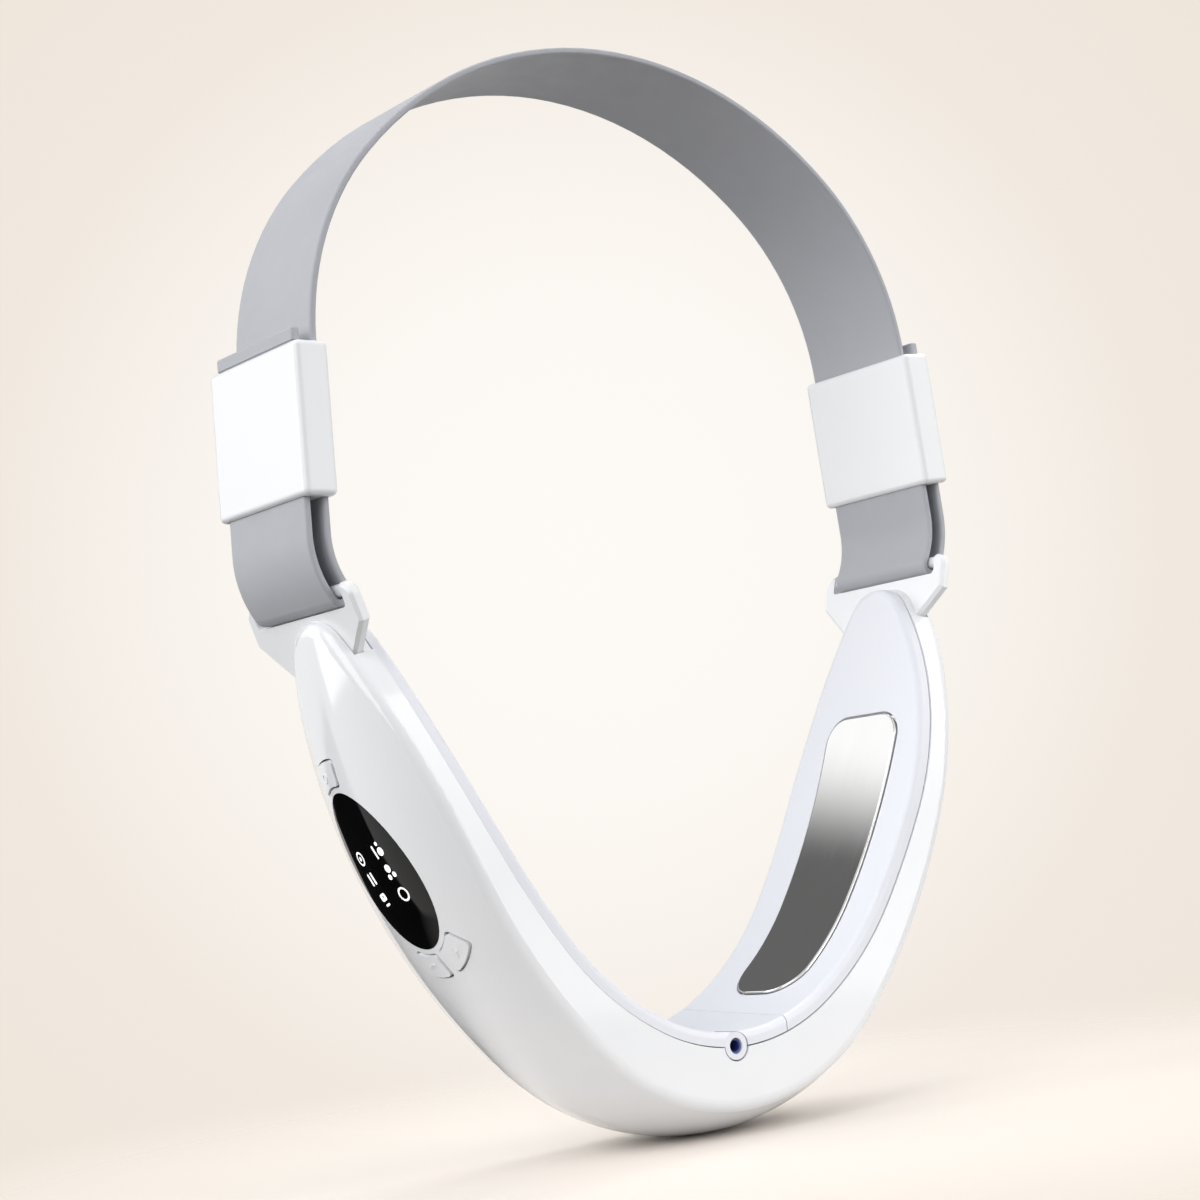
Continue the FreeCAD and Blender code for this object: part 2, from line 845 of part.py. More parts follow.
def make_shell():
    """Glossy outer shell with its ribs, bosses and openings."""
    body = crown_outer.common(outside_of(rim_chain, 0.0)).common(side_profile(0.0))
    body = body.makeFillet(crease_fillet, crease_edges(body))
    body = body.cut(crown_inner.common(side_profile(shell_wall)))
    inside = crown(shell_wall / 2).common(side_profile(shell_wall / 2))
    ribs = [rib(battery_angle, bracket_top + rib_gap, along) for along in (-battery_length / 3, battery_length / 3)]
    for along in (-motor_radius / 2, motor_radius / 2):
        seat = rib(motor_angle, cradle_top + rib_gap, along)
        ribs += [seat, mirrored(seat)]
    for side in (-1, 1):
        boss = ear_screw_cylinder(boss_radius, ear_thickness / 2 + ear_gap, trim_depth, side)
        ribs += [boss, mirrored(boss)]
    for along, across in board_corners:
        ribs.append(board_cylinder(boss_radius, -board_depth, display_room, along, across))
    body = body.fuse([piece.common(inside) for piece in ribs])
    cuts = [ear_space(), mirrored(ear_space())]
    for side in (-1, 1):
        hole = ear_screw_cylinder(screw_radius, -ear_thickness, ear_screw_length, side)
        cuts += [hole, mirrored(hole)]
    for along, across in board_corners:
        tip = -board_depth - board_thickness + board_screw_length + screw_clearance
        cuts.append(board_cylinder(screw_radius, -board_depth - board_thickness, tip, along, across))
    cuts.append(display_placed(oval(lens_gap, -display_room, display_room)).cut(crown(lens_thickness + lens_gap)))
    cuts.append(display_placed(oval(-lens_ledge, -board_depth, display_room)))
    for span in key_spans.values():
        cuts.append(display_placed(key_block(*span, key_gap, -board_depth, display_room)))
    cuts.append(eye_room())
    return body.cut(cuts)


def electrode_prism(grow):
    """Rounded outline of an electrode, square to the lining at its middle, on the right arm."""
    low = electrode_rise - electrode_length / 2 - grow
    high = electrode_rise + electrode_length / 2 + grow
    foot = electrode_foot_width / 2 + grow
    top = electrode_top_width / 2 + grow
    corners = [(-foot, low), (foot, low), (top, high), (-top, high)]
    face = Part.Face(wire_of([Vector(-trim_depth, electrode_middle_y + y, z) for y, z in corners]))
    outline = face.extrude(Vector(2 * trim_depth, 0, 0))
    upright = [edge for edge in outline.Edges if edge.BoundBox.XLength > trim_depth]
    foot_edges = [edge for edge in upright if middle_of(edge).z < electrode_rise]
    outline = outline.makeFillet(electrode_foot_radius + grow, foot_edges)
    upright = [edge for edge in outline.Edges if edge.BoundBox.XLength > trim_depth]
    top_edges = [edge for edge in upright if middle_of(edge).z > high - 1e-3]
    outline = outline.makeFillet(electrode_top_radius + grow, top_edges)
    return at_station(outline, rim_chain, electrode_angle)


def follows_rim(face):
    """Whether a face runs along the rim's arcs."""
    return face.Surface.TypeId == "Part::GeomCylinder" and abs(face.Surface.Axis.y) > math.cos(math.radians(1.0))


def make_electrode():
    """Dished steel plate: its face stands proud of the lining and its flange lies behind it."""
    face = -lining_height - electrode_proud
    seat = -lining_height + lining_wall + electrode_seat_gap
    back = seat + electrode_flange_thickness
    plate = electrode_prism(0.0).common(u_band(rim_chain, face, back, trim_half_depth))
    flange = electrode_prism(electrode_flange).common(u_band(rim_chain, seat, back, trim_half_depth))
    dish = electrode_prism(-electrode_sheet)
    dish = dish.common(u_band(rim_chain, face + electrode_sheet, back + electrode_sheet, trim_half_depth))
    electrode = plate.fuse(flange).cut(dish).removeSplitter()
    rim_edges = []
    for edge in electrode.Edges:
        on_face = abs(chain_offset(rim_chain, middle_of(edge)) - face) < 1e-3
        if on_face and not all(follows_rim(side) for side in electrode.ancestorsOfType(edge, Part.Face)):
            rim_edges.append(edge)
    return electrode.makeFillet(electrode_edge, rim_edges)


def make_linings():
    """Soft-coloured inner trays: left with the socket's eye, chin panel, and right."""
    tray = u_band(rim_chain, -lining_height, -parting_gap, trim_half_depth).common(side_profile(lining_step))
    tray = tray.removeSplitter().Solids[0]
    brim = []
    for edge in tray.Edges:
        box = edge.BoundBox
        on_face = abs(chain_offset(rim_chain, middle_of(edge)) + lining_height) < 1e-3
        if on_face and max(box.XLength, box.ZLength) > 1e-3:
            brim.append(edge)
    tray = tray.makeFillet(lining_fillet, brim)
    hollow = u_band(rim_chain, -lining_height + lining_wall, lining_wall, trim_half_depth)
    tray = tray.cut(hollow.common(side_profile(lining_step + lining_wall)))
    opening = electrode_prism(electrode_gap)
    tray = tray.cut([opening, mirrored(opening)])
    nose_room = eye_cylinder(socket_nose_radius + nose_clearance, -reach, reach)
    strip_y = -half_depth_at(socket_z) + lining_step + rim_strip
    half_gap = parting_gap / 2

    def left_of_seam(low_x, shift):
        """Everything from a place on the left up to the chin panel's slanting right seam."""
        front_x = panel_right_x + shift
        corners = [
            Vector(low_x, -trim_half_depth, -reach),
            Vector(front_x, -trim_half_depth, -reach),
            Vector(front_x + panel_right_skew, trim_half_depth, -reach),
            Vector(low_x, trim_half_depth, -reach),
        ]
        return Part.Face(wire_of(corners)).extrude(Vector(0, 0, 2 * reach))

    def chin_space(grow):
        strip = block(-reach, socket_x, -reach, strip_y - grow, -reach, reach)
        return left_of_seam(panel_left_x - grow, grow).cut(strip)

    left = tray.common(left_of_seam(-reach, 0.0)).cut(chin_space(half_gap))
    eye = eye_cylinder(eye_radius, eye_front_y, eye_back_y)
    left = left.fuse(eye).cut(nose_room).removeSplitter()
    panel = tray.common(chin_space(-half_gap)).cut([eye_room(), nose_room])
    right = tray.cut(left_of_seam(-reach, half_gap))
    return left, panel, right


def make_lens():
    """Black oval window that follows the shell's outer face."""
    return display_placed(oval(0.0, -display_room, display_room)).common(crown_outer).cut(crown(lens_thickness))


def make_light_frame():
    """Oval frame that keeps the icons' light apart, between the board and the window."""
    ring = oval(-frame_inset, -board_depth + frame_seat_gap, display_room)
    ring = ring.cut(oval(-frame_inset - frame_wall, -display_room, display_room))
    return display_placed(ring).common(crown(lens_thickness + frame_seat_gap))


def make_board():
    """Control board behind the display, with its screw holes."""
    board = block(
        -board_depth - board_thickness,
        -board_depth,
        -board_half_width,
        board_half_width,
        -board_half_length,
        board_half_length,
    )
    board = board.makeFillet(board_corner, [edge for edge in board.Edges if edge.BoundBox.XLength > 1e-3])
    holes = []
    for along, across in board_corners:
        holes.append(
            board_cylinder(screw_radius + screw_clearance, -board_depth - board_thickness, -board_depth, along, across)
        )
    return display_placed(board).cut(holes)


def make_switches():
    """One tact switch on the board under each key."""
    room_below_key = crown(key_depth + key_travel + switch_gap)
    half = switch_size / 2
    switches = []
    for place in switch_places():
        body = block(-board_depth, display_room, place.y - half, place.y + half, place.z - half, place.z + half)
        switches.append(display_placed(body).common(room_below_key))
    return Part.makeCompound(switches)


def make_board_screws():
    """Four screws from the board's back into the shell's bosses."""
    back = -board_depth - board_thickness
    shaft_radius = screw_radius - screw_clearance
    screws = []
    for along, across in board_corners:
        head = board_cylinder(screw_head_radius, back - screw_head_height, back, along, across)
        shaft = board_cylinder(shaft_radius, back, back + board_screw_length, along, across)
        screws.append(head.fuse(shaft).removeSplitter())
    return Part.makeCompound(screws)


def make_ear_screws():
    """Two screws through each ear's tongue, their heads sunk into it."""
    under_head = -ear_thickness / 2 + screw_head_height
    screws = []
    for side in (-1, 1):
        head = ear_screw_cylinder(screw_head_radius, -ear_thickness / 2, under_head, side)
        shaft = ear_screw_cylinder(screw_radius - screw_clearance, under_head, under_head + ear_screw_length, side)
        screw = head.fuse(shaft).removeSplitter()
        screws += [screw, mirrored(screw)]
    return Part.makeCompound(screws)


def make_drilled_ear():
    """Ear with the holes and sunk seats for its screws."""
    under_head = -ear_thickness / 2 + screw_head_height
    seat_radius = screw_head_radius + screw_clearance
    cuts = []
    for side in (-1, 1):
        cuts.append(ear_screw_cylinder(screw_radius, -ear_thickness, ear_thickness, side))
        cuts.append(ear_screw_cylinder(seat_radius, -ear_thickness, under_head, side))
    return make_ear().cut(cuts)


def make_socket():
    """Charging socket: a round tube that a plug slides into, over a block of terminals."""
    front = eye_front_y + socket_recess
    back = eye_back_y + socket_body_length
    tube = eye_cylinder(socket_nose_radius, front, back)
    terminals = block(
        socket_x - terminal_half_width,
        socket_x + terminal_half_width,
        eye_back_y + eye_gap,
        back,
        socket_z - terminal_drop,
        socket_z,
    )
    return tube.fuse(terminals).cut(eye_cylinder(socket_bore_radius, -reach, back - socket_floor)).removeSplitter()


def make_battery():
    """Pouch cell in the right arm."""
    half = battery_width / 2
    cell = block(battery_lift, battery_top, -half, half, -battery_length / 2, battery_length / 2)
    cell = cell.makeFillet(battery_edge, cell.Edges)
    return at_station(cell, rim_chain, battery_angle)


def make_bracket():
    """Open tray that holds the cell off the shell."""
    half = battery_width / 2 + bracket_gap
    length = bracket_half_length
    side_low = (battery_lift + battery_top) / 2
    floor = block(bracket_top - bracket_wall, bracket_top, -half, half, -length, length)
    walls = []
    for side in (-1, 1):
        low = min(side * half, side * bracket_half_width)
        walls.append(block(side_low, bracket_top, low, low + bracket_wall, -length, length))
    return at_station(fused([floor] + walls), rim_chain, battery_angle)


def motor_cylinder(radius, start_y, end_y):
    """Round stretch along the right motor's axis."""
    return at_station(
        Part.makeCylinder(radius, end_y - start_y, Vector(motor_lift, start_y, 0), Vector(0, 1, 0)),
        rim_chain,
        motor_angle,
    )


motor_front_y = motor_y - motor_length / 2
motor_back_y = motor_y + motor_length / 2


def make_motor():
    """Can of the vibration motor, with a bore for its shaft."""
    can = motor_cylinder(motor_radius, motor_front_y, motor_back_y)
    return can.cut(motor_cylinder(motor_shaft_radius + motor_shaft_clearance, motor_y, motor_back_y))


def make_weight():
    """Shaft with its off-centre weight."""
    start = motor_back_y + weight_gap
    shaft = motor_cylinder(motor_shaft_radius, motor_y + weight_gap, motor_back_y + motor_shaft_reach)
    disc = motor_cylinder(weight_radius, start, start + weight_length)
    half_space = at_station(
        block(motor_lift, 2 * trim_depth, -reach, reach, -trim_depth, trim_depth), rim_chain, motor_angle
    )
    return fused([disc.common(half_space), shaft])


def make_cradle():
    """Block that the motor is pressed into."""
    half = motor_radius + cradle_gap + cradle_wall
    margin = cradle_wall
    seat = block(motor_lift - margin, cradle_top, motor_front_y + margin, motor_back_y - margin, -half, half)
    seat = at_station(seat, rim_chain, motor_angle)
    return seat.cut(motor_cylinder(motor_radius + cradle_gap, -reach, reach))


def make_cable():
    """Flat cable along the back of the lining, from one arm to the other."""
    low = -lining_height + lining_wall + cable_gap
    ribbon = u_band(rim_chain, low, low + cable_thickness, cable_width / 2)
    ribbon.translate(Vector(0, cable_y, 0))
    return ribbon.common(block(-reach, reach, -reach, reach, -reach, cable_end_z))


def make_contacts():
    """Contact posts standing in the dished backs of the electrodes."""
    low = -lining_height - electrode_proud + electrode_sheet + contact_gap
    post = Part.makeCylinder(contact_radius, contact_top - low, Vector(low, electrode_middle_y, 0), Vector(1, 0, 0))
    post = at_station(post, rim_chain, contact_angle)
    return Part.makeCompound([post, mirrored(post)])


export(make_shell(), "outer_shell")
for name, lining in zip(("left_lining", "chin_panel", "right_lining"), make_linings()):
    export(lining, name)
pairs = {
    "electrode": make_electrode,
    "ear": make_drilled_ear,
    "sleeve": make_sleeve,
    "motor": make_motor,
    "motor_weight": make_weight,
    "motor_cradle": make_cradle,
}
for name, make in pairs.items():
    piece = make()
    export(piece, "right_" + name)
    export(mirrored(piece), "left_" + name)
for name, span in key_spans.items():
    export(make_key(span), name)
singles = {
    "head_strap": make_strap,
    "display_lens": make_lens,
    "light_frame": make_light_frame,
    "control_board": make_board,
    "key_switches": make_switches,
    "board_screws": make_board_screws,
    "ear_screws": make_ear_screws,
    "charging_socket": make_socket,
    "battery": make_battery,
    "battery_bracket": make_bracket,
    "flat_cable": make_cable,
    "electrode_contacts": make_contacts,
}
for name, make in singles.items():
    export(make(), name)
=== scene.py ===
# %% [markdown]
# # A face massager, dressed in Blender
# The solids of this face massager come from a CAD model: a U-shaped housing that cups the jaw, two
# ears, two keepers and a strap over the head. This lesson loads that model as a fixed frame, gives
# each solid a finish, and models by hand what a solid shows badly: the silicone strap, the lit marks
# behind the display and the raised marks on the keys.

import json
import math

import bmesh
import bpy
from mathutils import Matrix, Vector
from mathutils.bvhtree import BVHTree


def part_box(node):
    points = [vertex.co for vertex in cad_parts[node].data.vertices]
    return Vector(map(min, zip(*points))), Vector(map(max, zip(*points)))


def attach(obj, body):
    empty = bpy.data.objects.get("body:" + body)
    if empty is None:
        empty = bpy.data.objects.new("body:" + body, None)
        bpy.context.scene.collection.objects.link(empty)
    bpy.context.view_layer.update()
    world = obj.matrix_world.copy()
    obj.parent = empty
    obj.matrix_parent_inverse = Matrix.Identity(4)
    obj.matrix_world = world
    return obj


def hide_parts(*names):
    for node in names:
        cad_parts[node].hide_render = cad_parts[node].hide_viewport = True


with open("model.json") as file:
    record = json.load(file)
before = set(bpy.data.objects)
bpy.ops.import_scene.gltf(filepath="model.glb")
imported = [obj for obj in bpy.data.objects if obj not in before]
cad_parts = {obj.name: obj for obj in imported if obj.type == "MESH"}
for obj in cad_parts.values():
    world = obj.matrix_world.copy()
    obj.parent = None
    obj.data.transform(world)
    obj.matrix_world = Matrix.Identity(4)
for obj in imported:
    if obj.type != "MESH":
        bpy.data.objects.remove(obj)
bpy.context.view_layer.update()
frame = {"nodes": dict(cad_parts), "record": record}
scene = bpy.context.scene
scene.view_settings.view_transform = "Standard"
MM = 0.001

# %% [markdown]
# ## The camera
# The photograph is taken from low down, in front and to the wearer's right, with the camera rolled. A
# camera could be turned by eye until the outline fits. Here its place and its long lens were worked
# out from the keepers and the housing's outline, because the object's proportions hang on them. The
# camera looks along a heading and a pitch, and the roll turns the picture about that line.

# %% Camera
CAMERA_PLACE = Vector((-0.34105, -0.43454, 0.06663))
CAMERA_HEADING = math.radians(37.4065)
CAMERA_PITCH = math.radians(5.2173)
CAMERA_ROLL = math.radians(-7.0465)
CAMERA_LENS = 75.67
SENSOR_WIDTH = 36.0
NEAREST_SEEN = 10.0 * MM

ahead = Vector(
    (
        math.sin(CAMERA_HEADING) * math.cos(CAMERA_PITCH),
        math.cos(CAMERA_HEADING) * math.cos(CAMERA_PITCH),
        math.sin(CAMERA_PITCH),
    )
)
level = Vector((math.cos(CAMERA_HEADING), -math.sin(CAMERA_HEADING), 0.0))
above = level.cross(ahead)
picture_right = level * math.cos(CAMERA_ROLL) + above * math.sin(CAMERA_ROLL)
picture_up = above * math.cos(CAMERA_ROLL) - level * math.sin(CAMERA_ROLL)

camera_data = bpy.data.cameras.new("camera")
camera_data.lens = CAMERA_LENS
camera_data.sensor_fit = "HORIZONTAL"
camera_data.sensor_width = SENSOR_WIDTH
camera_data.clip_start = NEAREST_SEEN
camera = bpy.data.objects.new("camera", camera_data)
scene.collection.objects.link(camera)
camera_turn = Matrix((picture_right, picture_up, -ahead)).transposed()
camera.matrix_world = Matrix.Translation(CAMERA_PLACE) @ camera_turn.to_4x4()
scene.camera = camera
print("camera lens", CAMERA_LENS, "mm")

# %% [markdown]
# ## Finishes from small building blocks
# A moulded or polished surface is never quite even. Photographs of such surfaces could be laid on the
# pieces, but they would need image files. Instead every finish starts from Blender's Principled
# shader. What is the same all over, such as metal or clear coat, is set on the shader itself, and what
# varies is worked out by nodes. The helpers below each add a node or two and hand back its output.

# %% A finish and its nodes
COAT_ROUGHNESS = 0.05
finishes = {}


def shader_of(finish):
    """Principled shader of a finish."""
    return finish.node_tree.nodes["Principled BSDF"]


def new_finish(name, roughness, metallic=0.0, coat=0.0, specular=0.5):
    """Material with one Principled shader and its constant values, kept under its name."""
    finish = bpy.data.materials.new(name)
    finish.use_nodes = True
    for socket, value in (
        ("Roughness", roughness),
        ("Metallic", metallic),
        ("Coat Weight", coat),
        ("Coat Roughness", COAT_ROUGHNESS),
        ("Specular IOR Level", specular),
    ):
        shader_of(finish).inputs[socket].default_value = value
    finishes[name] = finish
    return finish


def object_place(tree):
    """Place on the piece in metres, from its own origin."""
    return tree.nodes.new("ShaderNodeTexCoord").outputs["Object"]


def colour_ramp(tree, value, stops, interpolation="LINEAR"):
    """Colour that follows a value through stops, each a position and a colour."""
    ramp = tree.nodes.new("ShaderNodeValToRGB")
    ramp.color_ramp.interpolation = interpolation
    elements = ramp.color_ramp.elements
    elements[0].position = stops[0][0]
    elements[1].position = stops[-1][0]
    for position, colour in stops[1:-1]:
        elements.new(position)
    for element, (position, colour) in zip(elements, stops):
        element.color = (*colour, 1.0)
    tree.links.new(value, ramp.inputs["Fac"])
    return ramp.outputs["Color"]


def rescale(tree, value, low, high, to_low=0.0, to_high=1.0, interpolation="LINEAR"):
    """Value carried from one span to another and held at its ends."""
    span = tree.nodes.new("ShaderNodeMapRange")
    span.interpolation_type = interpolation
    for socket, limit in (
        ("From Min", low),
        ("From Max", high),
        ("To Min", to_low),
        ("To Max", to_high),
    ):
        span.inputs[socket].default_value = limit
    tree.links.new(value, span.inputs["Value"])
    return span.outputs["Result"]


print("coat roughness", COAT_ROUGHNESS)

# %% [markdown]
# ## Tone, polish and grain
# Three helpers give a finish its small unevenness: tone for colour, polish for roughness and grain for
# the tiny bumps that catch the light. All three read noise on Object coordinates, which are metres
# here, so a noise scale of 1000 has features of about a millimetre. A squeeze above 1 shortens the
# noise along that axis, which leaves lines across it.

# %% Tone, polish and grain
EVEN = (1.0, 1.0, 1.0)
NOISE_LOW = 0.3
NOISE_HIGH = 0.7
TONE_DETAIL = 3.0
FINE_DETAIL = 2.0


def object_noise(tree, scale, detail, squeeze):
    """Noise on Object coordinates, squeezed along the axes where asked."""
    mapping = tree.nodes.new("ShaderNodeMapping")
    mapping.inputs["Scale"].default_value = squeeze
    noise = tree.nodes.new("ShaderNodeTexNoise")
    noise.inputs["Scale"].default_value = scale
    noise.inputs["Detail"].default_value = detail
    tree.links.new(object_place(tree), mapping.inputs["Vector"])
    tree.links.new(mapping.outputs["Vector"], noise.inputs["Vector"])
    return noise.outputs["Fac"]


def tone(finish, dark, light, scale, squeeze=EVEN):
    """Colour that drifts between two close tones."""
    tree = finish.node_tree
    noise = object_noise(tree, scale, TONE_DETAIL, squeeze)
    colour = colour_ramp(tree, noise, ((NOISE_LOW, dark), (NOISE_HIGH, light)))
    tree.links.new(colour, shader_of(finish).inputs["Base Color"])


def polish(finish, low, high, scale, squeeze=EVEN):
    """Roughness that drifts between two values, as on handled and moulded surfaces."""
    tree = finish.node_tree
    noise = object_noise(tree, scale, FINE_DETAIL, squeeze)
    roughness = rescale(tree, noise, NOISE_LOW, NOISE_HIGH, low, high)
    tree.links.new(roughness, shader_of(finish).inputs["Roughness"])


def grain(finish, scale, height, strength, squeeze=EVEN):
    """Fine bumps of a height in metres."""
    tree = finish.node_tree
    bump = tree.nodes.new("ShaderNodeBump")
    bump.inputs["Strength"].default_value = strength
    bump.inputs["Distance"].default_value = height
    noise = object_noise(tree, scale, FINE_DETAIL, squeeze)
    tree.links.new(noise, bump.inputs["Height"])
    tree.links.new(bump.outputs["Normal"], shader_of(finish).inputs["Normal"])


print("noise is read from", NOISE_LOW, "to", NOISE_HIGH)

# %% [markdown]
# ## White plastics
# The shell is injection moulded and polished: nearly even white, with long clean reflections and only a
# trace of ripple, so it gets a clear coat and a very low grain. The ears and keepers are the same white
# with a softer sheen. The lining that touches the skin is smooth too, but satin and a cooler, faintly
# lavender white. Its tone and roughness alone set it apart from the shell, without any grain.

# %% White plastics
white_gloss = new_finish("white_gloss", roughness=0.14, coat=0.5)
tone(white_gloss, dark=(0.875, 0.885, 0.905), light=(0.885, 0.895, 0.915), scale=25.0)
polish(white_gloss, low=0.11, high=0.16, scale=60.0)
grain(white_gloss, scale=350.0, height=0.02 * MM, strength=0.03)

white_satin = new_finish("white_satin", roughness=0.3, coat=0.15)
tone(white_satin, dark=(0.868, 0.874, 0.890), light=(0.880, 0.886, 0.902), scale=5.0)
polish(white_satin, low=0.26, high=0.30, scale=6.0)

lining = new_finish("lining", roughness=0.36)
tone(lining, dark=(0.778, 0.790, 0.838), light=(0.790, 0.802, 0.850), scale=5.0)
polish(lining, low=0.33, high=0.38, scale=8.0)
print("white finishes:", list(finishes))

# %% [markdown]
# ## Metals
# The electrode plates are polished steel. A perfect mirror looks computed, so the polish keeps faint
# lines along the plate: noise squeezed in one direction. Screws and motor cans are plated steel, duller
# and more even, the cell's pouch is foil, and the motor weights and contact posts are brass. These four
# differ in colour only, so one loop makes them.

# %% Metals
electrode_steel = new_finish("electrode_steel", roughness=0.1, metallic=1.0)
tone(
    electrode_steel,
    dark=(0.742, 0.742, 0.737),
    light=(0.754, 0.754, 0.749),
    scale=60.0,
    squeeze=(1.0, 4.0, 1.0),
)
polish(electrode_steel, low=0.05, high=0.08, scale=60.0, squeeze=(1.0, 12.0, 1.0))
grain(electrode_steel, scale=300.0, height=0.005 * MM, strength=0.004, squeeze=(1.0, 25.0, 1.0))

for name, dark, light in (
    ("screw_steel", (0.52, 0.52, 0.53), (0.62, 0.62, 0.63)),
    ("motor_steel", (0.55, 0.55, 0.55), (0.66, 0.66, 0.65)),
    ("weight_brass", (0.62, 0.46, 0.22), (0.75, 0.58, 0.30)),
    ("cell_foil", (0.62, 0.63, 0.65), (0.74, 0.74, 0.76)),
):
    metal = new_finish(name, roughness=0.3, metallic=1.0)
    tone(metal, dark, light, scale=300.0)
    polish(metal, low=0.24, high=0.4, scale=500.0)
    grain(metal, scale=1500.0, height=0.02 * MM, strength=0.1, squeeze=(1.0, 1.0, 6.0))
print("finishes with the metals:", len(finishes))

# %% [markdown]
# ## Silicone and window
# The strap's silicone is matt and a little dusty: the colour drifts slightly, the roughness is high and
# a faint sheen lifts the grey at grazing angles. A cloth-like weave would be wrong on a moulded band, so
# there is only the finest grain. The window over the display is black gloss. It is nearly black all
# over, and its look comes from what it mirrors.

# %% Silicone and window
strap_silicone = new_finish("strap_silicone", roughness=0.6, specular=0.4)
tone(strap_silicone, dark=(0.410, 0.418, 0.446), light=(0.432, 0.440, 0.468), scale=45.0)
polish(strap_silicone, low=0.52, high=0.66, scale=250.0)
grain(strap_silicone, scale=4000.0, height=0.02 * MM, strength=0.08)
shader_of(strap_silicone).inputs["Sheen Weight"].default_value = 0.15
shader_of(strap_silicone).inputs["Sheen Roughness"].default_value = 0.4

display_black = new_finish("display_black", roughness=0.06, specular=0.32)
tone(display_black, dark=(0.0015, 0.0015, 0.002), light=(0.003, 0.003, 0.0035), scale=80.0)
polish(display_black, low=0.04, high=0.08, scale=120.0)
print("silicone and window:", strap_silicone.name, display_black.name)

# %% [markdown]
# ## Inner plastics
# The socket's blue shows in its mouth at the chin. The rest lies inside and is seen only when the model
# is opened: the board, the frame that keeps the lights apart, the brackets and the cable. They are plain
# moulded pieces, so one loop gives each its colour with the same fine grain.

# %% Inner plastics
POLISH_DRIFT = 0.08

for name, dark, light, rough in (
    ("black_plastic", (0.02, 0.02, 0.021), (0.035, 0.035, 0.037), 0.5),
    ("board_green", (0.012, 0.10, 0.045), (0.03, 0.17, 0.08), 0.4),
    ("socket_blue", (0.035, 0.05, 0.20), (0.06, 0.09, 0.32), 0.4),
    ("inner_plastic", (0.72, 0.72, 0.72), (0.79, 0.79, 0.78), 0.5),
    ("cable_grey", (0.38, 0.38, 0.39), (0.46, 0.46, 0.47), 0.5),
):
    plastic = new_finish(name, rough)
    tone(plastic, dark, light, scale=400.0)
    polish(plastic, rough - POLISH_DRIFT, rough + POLISH_DRIFT, scale=300.0)
    grain(plastic, scale=3000.0, height=0.03 * MM, strength=0.15)
print("finishes:", len(finishes))

# %% [markdown]
# ## Dress the CAD nodes
# Each piece of the real product is of one material, so each solid gets one finish. That could be done
# piece by piece, but the record names a material slot for every node, so one loop does it and misses
# none. The CAD meshes themselves are left as they are.

# %% Dress the CAD nodes
for subpart in frame["record"]["subparts"]:
    node = frame["nodes"][subpart["node"]]
    node.data.materials.clear()
    node.data.materials.append(finishes[subpart["material_slot"]])

# %% [markdown]
# ## The strap's section
# The real strap is one moulded silicone band with soft edges, folded round each ear's bar and ending in
# a thicker tab that keeps the keeper from slipping off. A curve with a bevel could make it, but a curve
# can twist in such a tight fold. Instead one closed ring of edges, the section, is swept: extruded along
# the straight runs and spun round the bends. The section starts as a rectangle whose corners are
# bevelled. Its face is deleted so that only the ring stays.

# %% The strap's section
STRAP_PLANE = 3.5 * MM
STRAP_WIDTH = 31.0 * MM
STRAP_THICKNESS = 1.5 * MM
TAB_WIDTH = 31.4 * MM
TAB_THICKNESS = 2.0 * MM
TAB_LENGTH = 2.7 * MM
TAB_EDGE = 0.7 * MM


def rectangle(bm, width, height):
    """Flat rectangle about the origin, width along X and height along Y."""
    made = bmesh.ops.create_grid(bm, x_segments=1, y_segments=1, size=0.5)
    bmesh.ops.scale(bm, vec=(width, height, 1.0), verts=made["verts"])
    return made["verts"]


def rounded_rectangle(bm, width, height, corner, segments):
    """Flat rectangle with bevelled corners."""
    before = set(bm.verts)
    bmesh.ops.bevel(
        bm,
        geom=rectangle(bm, width, height),
        offset=corner,
        affect="VERTICES",
        segments=segments,
        profile=0.5,
        material=-1,
    )
    return [vert for vert in bm.verts if vert not in before]


def section_ring(bm, width, thickness, edge):
    """Closed ring of edges: thickness along X, width along Y, facing along Z."""
    rounded_rectangle(bm, thickness, width, edge, segments=5)
    bmesh.ops.delete(bm, geom=list(bm.faces), context="FACES_ONLY")
    return list(bm.edges)


def ring_verts(ring):
    """Vertices of a ring of edges."""
    return list({vert for edge in ring for vert in edge.verts})


print("section", STRAP_WIDTH / MM, "by", STRAP_THICKNESS / MM, "mm")

# %% [markdown]
# ## The strap's route
# On the real product the band runs down through the keeper, round the ear's bar, back up, over the head
# and the same in reverse on the other side. Points along that route could be listed, but then no bend
# would be a true arc. So it is walked like a turtle's path: a place, a heading in the front view, and
# steps that are either a straight run or a bend of a radius and an angle. A positive bend turns left.
# The numbers are the CAD model's own, so the strap stays in the space that its solid holds.

# %% The strap's route
SLEEVE_X = 83.659 * MM
SLEEVE_Z = 154.2 * MM
SLEEVE_LEAN = math.radians(2.5)
HALF_PITCH = 2.1 * MM
ABOVE_SLEEVE = 15.8 * MM
BELOW_SLEEVE = 22.8 * MM
TAB_CLEARANCE = 0.1 * MM
BEND_RADIUS = 19.7954 * MM
BEND_TURN = 36.3618
FOLD_TURN = 180.0
SIDE_RADIUS = 61.4832 * MM
SIDE_TURN = 42.5
TOP_RADIUS = 88.9858 * MM
TOP_TURN = 90.0
STRAIGHT = 0.0

